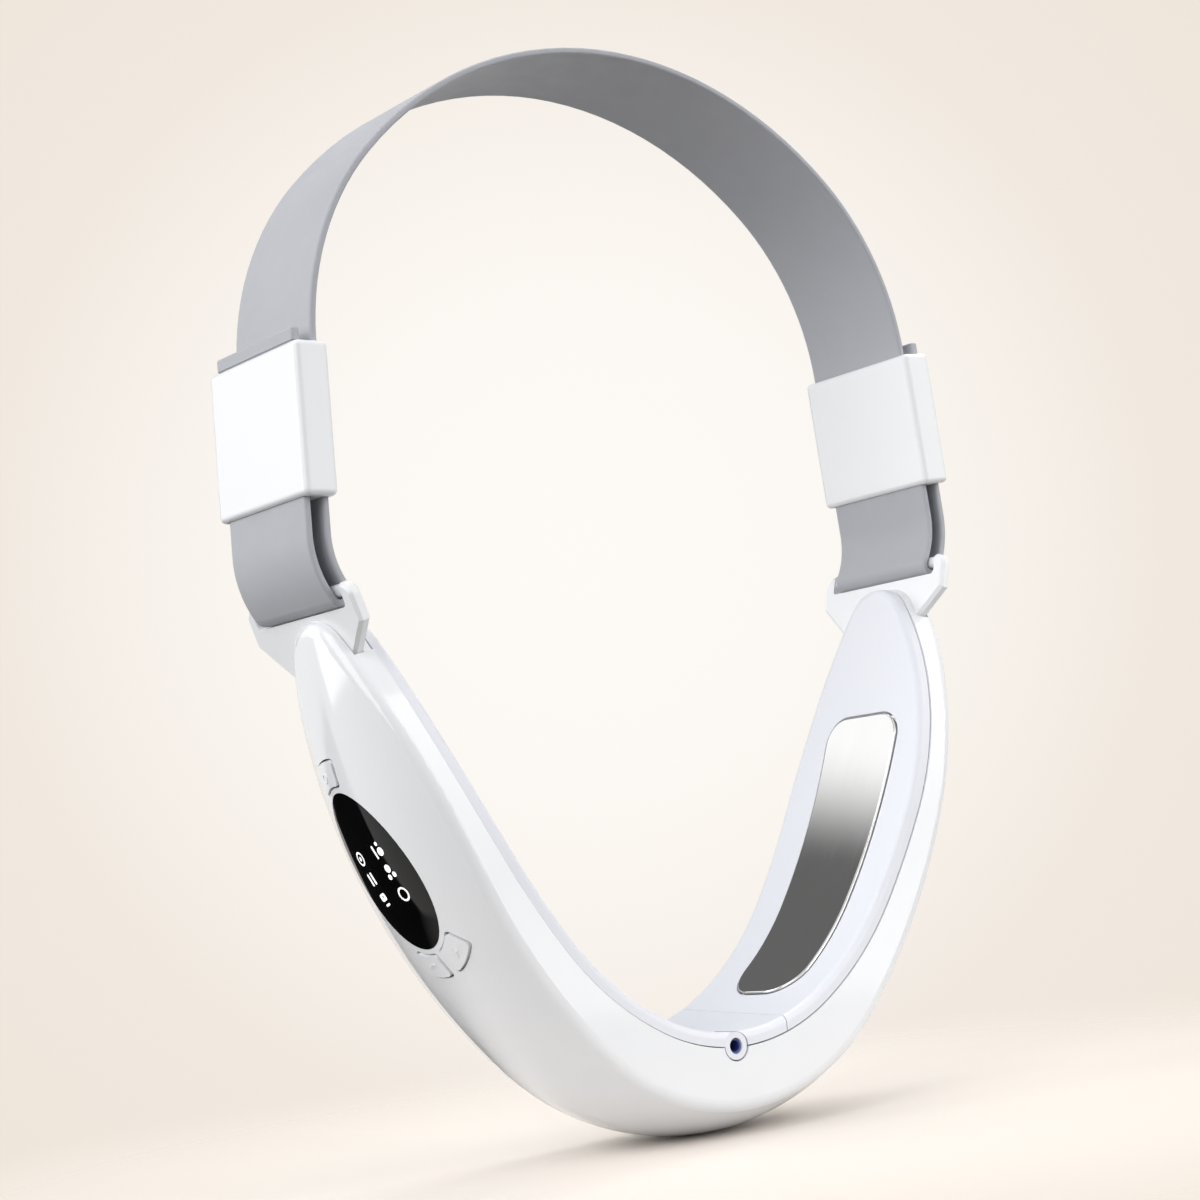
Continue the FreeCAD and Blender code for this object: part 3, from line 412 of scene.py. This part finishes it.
leg = [
    (ABOVE_SLEEVE + TAB_CLEARANCE + BELOW_SLEEVE, STRAIGHT),
    (BEND_RADIUS + HALF_PITCH, -BEND_TURN),
    (HALF_PITCH, -FOLD_TURN),
    (BEND_RADIUS - HALF_PITCH, BEND_TURN),
    (BELOW_SLEEVE + ABOVE_SLEEVE, STRAIGHT),
    (SIDE_RADIUS, SIDE_TURN),
]
route = leg + [(TOP_RADIUS, TOP_TURN)] + leg[::-1]
print("steps on the route:", len(route))

# %% [markdown]
# ## Moves for the sweep
# Three moves carry the section along the route: push it straight on, spin it round a bend, and resize it
# where the band meets its thicker tab. They could be drawn point by point, but Blender's own extrude, spin
# and scale do the work. Push and spin hand back the new last ring of edges, and resize changes it in place.

# %% Moves for the sweep
SPIN_AXIS = (0.0, -1.0, 0.0)
DEGREES_PER_STEP = 3.0
FEWEST_STEPS = 6


def heading_vector(heading):
    """Direction in the front view for a heading counted from +X towards +Z."""
    return Vector((math.cos(heading), 0.0, math.sin(heading)))


def left_of(direction):
    """Direction to the left of another in the front view."""
    return Vector((-direction.z, 0.0, direction.x))


def across_route(place, heading):
    """Matrix that stands the section across the route at a place."""
    return Matrix.Translation(place) @ Matrix.Rotation(math.pi / 2 - heading, 4, "Y")


def only(geom, kind):
    """Items of one kind from an operator's mixed result."""
    return [item for item in geom if isinstance(item, kind)]


def push_ring(bm, ring, shift):
    """Extrude a ring of edges by a shift and return the new ring."""
    made = bmesh.ops.extrude_edge_only(bm, edges=ring)["geom"]
    new_verts = only(made, bmesh.types.BMVert)
    bmesh.ops.translate(bm, vec=shift, verts=new_verts)
    fresh = set(new_verts)
    return [edge for edge in only(made, bmesh.types.BMEdge) if fresh.issuperset(edge.verts)]


def spin_ring(bm, ring, centre, degrees):
    """Spin a ring of edges about an axis from front to back and return the last ring."""
    made = bmesh.ops.spin(
        bm,
        geom=ring_verts(ring) + ring,
        cent=centre,
        axis=SPIN_AXIS,
        angle=math.radians(degrees),
        steps=max(FEWEST_STEPS, round(abs(degrees) / DEGREES_PER_STEP)),
        use_merge=False,
        use_duplicate=False,
    )
    return only(made["geom_last"], bmesh.types.BMEdge)


def resize_ring(bm, ring, place, heading, across, through):
    """Scale a ring about its middle: across the strap and through it."""
    local = across_route(place, heading).inverted()
    bmesh.ops.scale(bm, vec=(through, across, 1.0), space=local, verts=ring_verts(ring))


print("moves: push, spin, resize; a spin step is about", DEGREES_PER_STEP, "degrees in a long bend")

# %% [markdown]
# ## Sweep the strap
# The walk starts at the end of one tab with the wide section, steps in to the strap's own section and
# follows the route. It then steps out again for the other tab, so the band and both tabs are one closed
# skin, as the real strap is one moulding.

# %% Sweep the strap
lean_out = Vector((math.cos(SLEEVE_LEAN), 0.0, math.sin(SLEEVE_LEAN)))
lean_up = Vector((-math.sin(SLEEVE_LEAN), 0.0, math.cos(SLEEVE_LEAN)))
heading = SLEEVE_LEAN - math.pi / 2
place = Vector((SLEEVE_X, STRAP_PLANE, SLEEVE_Z))
place += lean_up * (ABOVE_SLEEVE + TAB_CLEARANCE + TAB_LENGTH) + lean_out * HALF_PITCH

bm = bmesh.new()
first_ring = section_ring(bm, TAB_WIDTH, TAB_THICKNESS, TAB_EDGE)
bmesh.ops.transform(bm, matrix=across_route(place, heading), verts=ring_verts(first_ring))
ring = push_ring(bm, first_ring, heading_vector(heading) * TAB_LENGTH)
tab_rims = list(ring)
place += heading_vector(heading) * TAB_LENGTH
ring = push_ring(bm, ring, Vector())
resize_ring(bm, ring, place, heading, STRAP_WIDTH / TAB_WIDTH, STRAP_THICKNESS / TAB_THICKNESS)

for size, degrees in route:
    direction = heading_vector(heading)
    if degrees == STRAIGHT:
        ring = push_ring(bm, ring, direction * size)
        place += direction * size
    else:
        centre = place + left_of(direction) * math.copysign(size, degrees)
        ring = spin_ring(bm, ring, centre, degrees)
        place = centre + Matrix.Rotation(math.radians(degrees), 4, SPIN_AXIS) @ (place - centre)
        heading += math.radians(degrees)

ring = push_ring(bm, ring, Vector())
resize_ring(bm, ring, place, heading, TAB_WIDTH / STRAP_WIDTH, TAB_THICKNESS / STRAP_THICKNESS)
tab_rims += ring
last_ring = push_ring(bm, ring, heading_vector(heading) * TAB_LENGTH)
print("the band ends at", [round(value / MM, 2) for value in place], "mm")

# %% [markdown]
# ## Finish the strap
# The two open ends are filled and the tabs' rims get a small bevel, because moulded silicone has no sharp
# edge. The faces are shaded smooth, and a Weighted Normal modifier keeps the flat of the band flat, where
# plain smooth shading would bulge. The finished band takes the place of the CAD node and rides on the
# housing.

# %% Finish the strap
TAB_END_SOFTNESS = 0.5 * MM
TAB_STEP_SOFTNESS = 0.15 * MM


def new_piece(name, bm, finish):
    """Object for a finished bmesh, with its finish."""
    mesh = bpy.data.meshes.new(name)
    bm.to_mesh(mesh)
    bm.free()
    mesh.materials.append(finish)
    piece = bpy.data.objects.new(name, mesh)
    scene.collection.objects.link(piece)
    return piece


tab_ends = first_ring + last_ring
bmesh.ops.holes_fill(bm, edges=tab_ends, sides=0)
for rims, softness in ((tab_ends, TAB_END_SOFTNESS), (tab_rims, TAB_STEP_SOFTNESS)):
    bmesh.ops.bevel(
        bm, geom=rims, offset=softness, affect="EDGES", segments=3, profile=0.5, material=-1
    )
bmesh.ops.recalc_face_normals(bm, faces=list(bm.faces))
for face in bm.faces:
    face.smooth = True
strap = new_piece("silicone_strap", bm, strap_silicone)
strap.modifiers.new("even_normals", "WEIGHTED_NORMAL")
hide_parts("head_strap")
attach(strap, "housing")
print("strap faces:", len(strap.data.polygons))

# %% [markdown]
# ## Marks that lie on a curved face
# The marks on the window and on the keys are thin shapes that must follow the housing's curve. Each is
# drawn flat with a few operators in the display's own plane, given a little thickness, and then dropped
# onto the face along the display's normal: every vertex moves by the distance that a ray finds. A
# shrinkwrap modifier does the same, but a ray says exactly how far the mark stands proud.

# %% The display's plane and the dropping helper
DISPLAY_ANGLE = math.radians(68.3598)
DISPLAY_TILT = math.radians(16.0)
RAY_START = 20.0 * MM
backwards = Vector((0, 1, 0))
display_out = Vector((-math.sin(DISPLAY_ANGLE), 0.0, -math.cos(DISPLAY_ANGLE)))
display_along = Vector((-math.cos(DISPLAY_ANGLE), 0.0, math.sin(DISPLAY_ANGLE)))
display_up = display_along * math.cos(DISPLAY_TILT) + backwards * math.sin(DISPLAY_TILT)
display_across = backwards * math.cos(DISPLAY_TILT) - display_along * math.sin(DISPLAY_TILT)
display_middle = Vector((-71.9957, 1.25, 63.65)) * MM


def face_tree(node_name):
    """Ray target made of one CAD node's triangles."""
    mesh = frame["nodes"][node_name].data
    corners = [vert.co for vert in mesh.vertices]
    return BVHTree.FromPolygons(corners, [list(polygon.vertices) for polygon in mesh.polygons])


def drop_marks(bm, target, proud, sink):
    """Give flat marks a thickness and set them on a curved face, proud of it and sunk into it."""
    bottoms = {vert: -sink for vert in bm.verts}
    made = bmesh.ops.extrude_face_region(bm, geom=list(bm.faces), use_keep_orig=True)
    tops = {vert: proud for vert in only(made["geom"], bmesh.types.BMVert)}
    for vert, height in {**bottoms, **tops}.items():
        start = display_middle + display_across * vert.co.x + display_up * vert.co.y
        hit = target.ray_cast(start + display_out * RAY_START, -display_out)[0]
        vert.co = hit + display_out * height
    bmesh.ops.recalc_face_normals(bm, faces=list(bm.faces))


def mark_object(bm, name, finish, body):
    """Object for a set of marks, riding on a body."""
    piece = new_piece(name, bm, finish)
    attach(piece, body)
    return piece


print("display normal", [round(value, 3) for value in display_out])

# %% [markdown]
# ## Plain shapes to draw with
# A ring is a circle whose edge is extruded and scaled inwards, a dot is a filled circle and a bar is a
# rectangle with rounded corners. Text objects could give signs, but these marks are generic and say
# nothing.

# %% Plain shapes to draw with
DOT_SEGMENTS = 24
RING_SEGMENTS = 32
BAR_CORNER = 0.35
UPRIGHT = 90.0
FLAT = 0.0


def draw_dot(bm, x, y, radius):
    """Filled circle."""
    made = bmesh.ops.create_circle(bm, cap_ends=True, segments=DOT_SEGMENTS, radius=radius)
    bmesh.ops.translate(bm, vec=(x, y, 0.0), verts=made["verts"])


def draw_ring(bm, x, y, radius, stroke):
    """Flat ring of a stroke's width."""
    outer = bmesh.ops.create_circle(bm, cap_ends=False, segments=RING_SEGMENTS, radius=radius)["verts"]
    edges = list({edge for vert in outer for edge in vert.link_edges})
    inner = only(bmesh.ops.extrude_edge_only(bm, edges=edges)["geom"], bmesh.types.BMVert)
    shrink = (radius - stroke) / radius
    bmesh.ops.scale(bm, vec=(shrink, shrink, 1.0), verts=inner)
    bmesh.ops.translate(bm, vec=(x, y, 0.0), verts=outer + inner)


def draw_bar(bm, x, y, length, width, turn):
    """Rectangle with rounded corners, turned by an angle."""
    bar = rounded_rectangle(bm, length, width, BAR_CORNER * width, segments=4)
    bmesh.ops.rotate(bm, matrix=Matrix.Rotation(math.radians(turn), 3, "Z"), verts=bar)
    bmesh.ops.translate(bm, vec=(x, y, 0.0), verts=bar)


print("shapes: dot, ring, bar")

# %% [markdown]
# ## The lit marks
# Behind the black window small lights show through masks, in two columns of three. An image on the window
# could show them, but meshes stay sharp at any distance. They are thin white shapes two hundredths of a
# millimetre proud of the window, with a soft glow of their own so that they stay white in any light.

# %% The lit marks
LIT_GLOW = 0.6
LIT_RING_RADIUS = 1.6 * MM
LIT_RING_STROKE = 0.45 * MM
LIT_PROUD = 0.02 * MM
LIT_SINK = 0.05 * MM

lit_white = new_finish("lit_white", roughness=0.4)
tone(lit_white, dark=(0.80, 0.80, 0.80), light=(0.86, 0.86, 0.86), scale=500.0)
shader_of(lit_white).inputs["Emission Color"].default_value = (1.0, 1.0, 1.0, 1.0)
shader_of(lit_white).inputs["Emission Strength"].default_value = LIT_GLOW

# Places and sizes in millimetres, across and up from the display's middle.
lit_rings = ((3.6, 4.7), (-3.7, -6.2))
lit_dots = (
    (3.6, 4.7, 0.5),
    (-5.4, 3.4, 0.95),
    (-5.4, 5.2, 0.45),
    (-3.3, -1.9, 0.6),
    (-5.1, -1.9, 0.6),
    (-4.2, -0.2, 0.9),
)
lit_bars = (
    (4.7, 0.0, 2.8, 0.8, UPRIGHT),
    (3.1, 0.0, 2.8, 0.8, UPRIGHT),
    (4.0, -4.3, 2.6, 1.7, FLAT),
    (4.0, -6.1, 1.9, 0.5, FLAT),
    (-3.5, 3.9, 3.0, 0.6, UPRIGHT),
)
bm = bmesh.new()
for x, y in lit_rings:
    draw_ring(bm, x * MM, y * MM, LIT_RING_RADIUS, LIT_RING_STROKE)
for x, y, radius in lit_dots:
    draw_dot(bm, x * MM, y * MM, radius * MM)
for x, y, length, width, turn in lit_bars:
    draw_bar(bm, x * MM, y * MM, length * MM, width * MM, turn)
drop_marks(bm, face_tree("display_lens"), LIT_PROUD, LIT_SINK)
lit_marks = mark_object(bm, "lit_marks", lit_white, "housing")
print("lit marks faces:", len(lit_marks.data.polygons))

# %% [markdown]
# ## Raised marks on the keys
# Each key carries a small raised mark in its own white, moulded with the key and felt more than seen. A
# bump in the material would leave the mesh itself flat, so the mark is a shape of its own, dropped onto
# the key. The key above the display has a ring, the two below have a plus and a bar. Each mark rides on
# its key, so it moves when the key is pressed, and its place comes from the key's box in the frame.

# %% Raised marks on the keys
KEY_RING_RADIUS = 1.1 * MM
KEY_RING_STROKE = 0.35 * MM
KEY_BAR_LENGTH = 2.2 * MM
KEY_BAR_WIDTH = 0.4 * MM
PLUS_ARM_LENGTH = 0.85 * MM
PLUS_ARM_PLACE = 0.72 * MM
KEY_MARK_PROUD = 0.18 * MM
KEY_MARK_SINK = 0.1 * MM


def key_middle(node_name):
    """Middle of a key in the display's plane."""
    low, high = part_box(node_name)
    middle = (Vector(low) + Vector(high)) / 2 - display_middle
    return middle.dot(display_across), middle.dot(display_up)


def ring_mark(bm, x, y):
    """Ring about a key's middle."""
    draw_ring(bm, x, y, KEY_RING_RADIUS, KEY_RING_STROKE)


def bar_mark(bm, x, y):
    """Bar about a key's middle."""
    draw_bar(bm, x, y, KEY_BAR_LENGTH, KEY_BAR_WIDTH, FLAT)


def plus_mark(bm, x, y):
    """Bar with an arm on either side, which make a plus."""
    bar_mark(bm, x, y)
    for offset in (PLUS_ARM_PLACE, -PLUS_ARM_PLACE):
        draw_bar(bm, x, y + offset, PLUS_ARM_LENGTH, KEY_BAR_WIDTH, UPRIGHT)


for node_name, body, draw_mark in (
    ("mode_button", "mode_key", ring_mark),
    ("stronger_button", "stronger_key", plus_mark),
    ("weaker_button", "weaker_key", bar_mark),
):
    bm = bmesh.new()
    x, y = key_middle(node_name)
    draw_mark(bm, x, y)
    drop_marks(bm, face_tree(node_name), KEY_MARK_PROUD, KEY_MARK_SINK)
    piece = mark_object(bm, node_name + "_mark", white_gloss, body)
    print(piece.name, "at", round(x / MM, 1), round(y / MM, 1))

# %% [markdown]
# ## Nodes for the stage
# The floor, the backdrop and the cards need a little more than a finish does: arithmetic on values, the
# parts of a vector, and two shaders blended by a factor. Each node could be added and linked where it is
# used, but the same few lines would come back many times. So each helper adds one node and hands back its
# output, in the same way as the ones above.

# %% Nodes for the stage
def calculate(tree, operation, *terms):
    """Result of arithmetic, where each term is a number or another node's output."""
    node = tree.nodes.new("ShaderNodeMath")
    node.operation = operation
    for socket, term in zip(node.inputs, terms):
        if isinstance(term, float):
            socket.default_value = term
        else:
            tree.links.new(term, socket)
    return node.outputs["Value"]


def measure(tree, operation, vector, direction=(0.0, 0.0, 0.0)):
    """Length of a vector, or its dot product with a direction."""
    node = tree.nodes.new("ShaderNodeVectorMath")
    node.operation = operation
    node.inputs[1].default_value = direction
    tree.links.new(vector, node.inputs[0])
    return node.outputs["Value"]


def parts_of(tree, vector):
    """X, Y and Z of a vector."""
    split = tree.nodes.new("ShaderNodeSeparateXYZ")
    tree.links.new(vector, split.inputs["Vector"])
    return split.outputs


def blend(tree, factor, first, second):
    """Mix of two shaders: the first where the factor is 0, the second where it is 1."""
    mix = tree.nodes.new("ShaderNodeMixShader")
    for socket, source in zip(mix.inputs, (factor, first, second)):
        tree.links.new(source, socket)
    return mix.outputs["Shader"]


def see_through(tree):
    """Shader that lets all light pass."""
    return tree.nodes.new("ShaderNodeBsdfTransparent").outputs["BSDF"]


print("stage nodes: calculate, measure, parts_of, blend, see_through")

# %% [markdown]
# ## The floor
# The product stands on a pale, warm surface without a horizon. A large plane would show its edge against
# the backdrop, so the floor is a round sheet: matt near the object, where it takes the shadow, and fading
# to clear further out, where the backdrop's cream takes over. To the camera it is as pale as paper, but
# it throws a little less light back up, so that the underside of the housing does not glow.

# %% Floor
FLOOR_RADIUS = 0.3
FLOOR_SEGMENTS = 96
FLOOR_FADE = (0.02, 0.25)
FLOOR_BOUNCE = (0.68, 0.65, 0.62, 1.0)

floor_cream = new_finish("floor_cream", roughness=0.7, specular=0.1)
tone(floor_cream, dark=(0.835, 0.770, 0.705), light=(0.845, 0.780, 0.715), scale=6.0)
floor_tree = floor_cream.node_tree
bounce = floor_tree.nodes.new("ShaderNodeBsdfDiffuse")
bounce.inputs["Color"].default_value = FLOOR_BOUNCE
floor_rays = floor_tree.nodes.new("ShaderNodeLightPath").outputs
seen_paper = shader_of(floor_cream).outputs["BSDF"]
paper = blend(floor_tree, floor_rays["Is Diffuse Ray"], seen_paper, bounce.outputs["BSDF"])
distance = measure(floor_tree, "LENGTH", object_place(floor_tree))
faded = rescale(floor_tree, distance, *FLOOR_FADE, interpolation="SMOOTHSTEP")
floor_surface = blend(floor_tree, faded, paper, see_through(floor_tree))
floor_tree.links.new(floor_surface, floor_tree.nodes["Material Output"].inputs["Surface"])

bm = bmesh.new()
bmesh.ops.create_circle(bm, cap_ends=True, segments=FLOOR_SEGMENTS, radius=FLOOR_RADIUS)
floor = new_piece("floor", bm, floor_cream)
print("floor radius", FLOOR_RADIUS, "m")

# %% [markdown]
# ## The backdrop
# Behind the product is plain cream paper. Its colour carries a painted pool of light: palest behind the
# object's middle and darker and warmer towards the picture's edges. A lit wall could stand there, but it
# would block the light. So the backdrop is the world itself: its colour follows the angle from the painted
# glow's middle, and further round it is a plain pale tone.

# %% Backdrop
GLOW_LEFT = 0.01
GLOW_UP = 0.02
# Tones by angle from the glow's middle: the pale middle and the darker, warmer edges are a painted pool of
# light on the cream.
BACKDROP_CREAM_AND_GLOW = (
    (0.80, (0.93, 0.92, 0.90)),
    (0.945, (0.855, 0.780, 0.700)),
    (0.974, (0.880, 0.812, 0.745)),
    (0.998, (0.985, 0.955, 0.915)),
)

world = bpy.data.worlds.new("studio")
world.use_nodes = True
scene.world = world
studio_tree = world.node_tree
sight = studio_tree.nodes.new("ShaderNodeTexCoord").outputs["Generated"]
glow = (ahead - picture_right * GLOW_LEFT + picture_up * GLOW_UP).normalized()
near_glow = measure(studio_tree, "DOT_PRODUCT", sight, glow)
backdrop = studio_tree.nodes.new("ShaderNodeBackground")
backdrop.inputs["Strength"].default_value = 1.0
cream_and_painted_glow = colour_ramp(studio_tree, near_glow, BACKDROP_CREAM_AND_GLOW)
studio_tree.links.new(cream_and_painted_glow, backdrop.inputs["Color"])
print("backdrop glows along", [round(value, 3) for value in glow])

# %% [markdown]
# ## The daylight
# The light that fills the studio is not seen itself. It is brighter from above than from below, and
# brighter from the picture's left than from its right, as the keepers' sides show. A picture of a studio
# could give it, but a ramp on the height and a gain to one side say the same without a file. Camera,
# mirrors and glass see the backdrop, and everything else is lit by the daylight.

# %% Daylight
DAYLIGHT = 0.68
DAYLIGHT_SIDE = 0.34
SKY_TONES = ((0.0, (0.10, 0.10, 0.105)), (0.5, (0.96, 0.98, 1.0)))

daylight = studio_tree.nodes["Background"]
sky = colour_ramp(studio_tree, parts_of(studio_tree, sight)["Z"], SKY_TONES)
studio_tree.links.new(sky, daylight.inputs["Color"])
leftward = measure(studio_tree, "DOT_PRODUCT", sight, -picture_right)
weakest, strongest = DAYLIGHT - DAYLIGHT_SIDE, DAYLIGHT + DAYLIGHT_SIDE
gain = rescale(studio_tree, leftward, -1.0, 1.0, weakest, strongest)
studio_tree.links.new(gain, daylight.inputs["Strength"])

rays = studio_tree.nodes.new("ShaderNodeLightPath").outputs
direct = calculate(studio_tree, "MAXIMUM", rays["Is Camera Ray"], rays["Is Transmission Ray"])
sees_backdrop = calculate(studio_tree, "MAXIMUM", direct, rays["Is Glossy Ray"])
lighting, ground = daylight.outputs["Background"], backdrop.outputs["Background"]
studio = blend(studio_tree, sees_backdrop, lighting, ground)
studio_tree.links.new(studio, studio_tree.nodes["World Output"].inputs["Surface"])
print("daylight", DAYLIGHT, "more on the left by", DAYLIGHT_SIDE)

# %% [markdown]
# ## Soft boxes
# Four soft boxes light the object: one on the left, one on the left behind it for the outer rim, one at
# the front right for the near flanks, and one above and to the right. Small lamps would leave hard spots
# on the gloss, and large boxes give broad reflections and soft shadows. Places and sizes are in metres.

# %% Soft boxes
LOOP_MIDDLE = (0.0, 0.0, 0.12)
BELOW_MIDDLE = (0.0, 0.0, 0.1)


def soft_box(name, place, aim, width, height, watts):
    """Rectangular lamp that looks at a point."""
    lamp_data = bpy.data.lights.new(name, "AREA")
    lamp_data.shape = "RECTANGLE"
    lamp_data.size = width
    lamp_data.size_y = height
    lamp_data.energy = watts
    lamp = bpy.data.objects.new(name, lamp_data)
    scene.collection.objects.link(lamp)
    lamp.location = place
    lamp.rotation_euler = (Vector(aim) - Vector(place)).to_track_quat("-Z", "Y").to_euler()
    print(name, watts, "W")


soft_box("left_box", (-0.85, -0.25, 0.5), LOOP_MIDDLE, width=0.6, height=0.9, watts=4.3)
soft_box("rim_box", (-0.65, 0.45, 0.35), LOOP_MIDDLE, width=0.35, height=0.8, watts=2.4)
soft_box("right_box", (0.44, -0.6, 0.32), LOOP_MIDDLE, width=0.8, height=0.8, watts=4.3)
soft_box("top_box", (0.55, 0.2, 1.0), BELOW_MIDDLE, width=0.8, height=0.8, watts=4.4)

# %% [markdown]
# ## The electrodes' card
# Gloss is shaped as much by what is dark as by what is bright, and a polished plate shows little but what
# stands opposite it. The plate falls from white at its top to dark grey. Painted on the plate, that fall
# would be wrong in every other view, so a large card behind the object carries it. A card shows in
# reflections only: camera, soft light and shadows pass it by.

# %% The electrodes' card
FADE_GLOW = 1.3
FADE_SPAN = (-0.67, -0.40)
FADE_TONES = ((0.0, (1.0, 1.0, 1.0)), (1.0, (0.12, 0.12, 0.12)))


def card(name, finish, place, aim, width, height):
    """Card that faces a point and shows only in reflections."""
    bm = bmesh.new()
    corners = rectangle(bm, width, height)
    turn = (Vector(aim) - Vector(place)).to_track_quat("Z", "Y").to_matrix().to_4x4()
    bmesh.ops.transform(bm, matrix=Matrix.Translation(place) @ turn, verts=corners)
    piece = new_piece(name, bm, finish)
    piece.visible_camera = False
    piece.visible_diffuse = False
    piece.visible_shadow = False
    print(name, width, "by", height, "m")


fade_finish = new_finish("fade_card", roughness=0.8, specular=0.0)
shader_of(fade_finish).inputs["Base Color"].default_value = (0.0, 0.0, 0.0, 1.0)
shader_of(fade_finish).inputs["Emission Strength"].default_value = FADE_GLOW
fade_tree = fade_finish.node_tree
fade_spot = parts_of(fade_tree, object_place(fade_tree))
rightward = rescale(fade_tree, fade_spot["X"], *FADE_SPAN)
fall = colour_ramp(fade_tree, rightward, FADE_TONES, interpolation="EASE")
fade_tree.links.new(fall, shader_of(fade_finish).inputs["Emission Color"])
card(
    "electrode_card",
    fade_finish,
    place=(0.0, 1.2, 0.85),
    aim=(0.0, 0.0, 0.85),
    width=2.6,
    height=1.3,
)

# %% [markdown]
# ## The window's card
# The window mirrors the ground behind the object and to its left, which would turn its black to grey. A
# dark card lies there, just above the floor. Beyond its left edge, which starts straight and then slants,
# it is clear, so the pale ground shows as a wedge of glare along the window. It is clear towards the
# front as well.

# %% The window's card
WEDGE_SLANT = 1.6
SLANTED_EDGE = (-0.141, -0.135)
STRAIGHT_EDGE = (-0.121, -0.116)
FRONT_EDGE = (0.02, 0.06)

dark_finish = new_finish("dark_card", roughness=0.8, specular=0.0)
tone(dark_finish, dark=(0.010, 0.010, 0.0095), light=(0.012, 0.012, 0.0115), scale=3.0)
dark_tree = dark_finish.node_tree
dark_spot = parts_of(dark_tree, object_place(dark_tree))
slant = calculate(dark_tree, "MULTIPLY_ADD", dark_spot["X"], WEDGE_SLANT, dark_spot["Y"])
past_slant = rescale(dark_tree, slant, *SLANTED_EDGE)
past_straight = rescale(dark_tree, dark_spot["X"], *STRAIGHT_EDGE)
past_front = rescale(dark_tree, dark_spot["Y"], *FRONT_EDGE)
past_left = calculate(dark_tree, "MAXIMUM", past_slant, past_straight)
covered = calculate(dark_tree, "MULTIPLY", past_left, past_front)
dark_paper = shader_of(dark_finish).outputs["BSDF"]
dark_surface = blend(dark_tree, covered, see_through(dark_tree), dark_paper)
dark_tree.links.new(dark_surface, dark_tree.nodes["Material Output"].inputs["Surface"])
card(
    "window_card",
    dark_finish,
    place=(-0.26, 0.335, 0.004),
    aim=(-0.26, 0.335, 1.0),
    width=0.48,
    height=0.63,
)
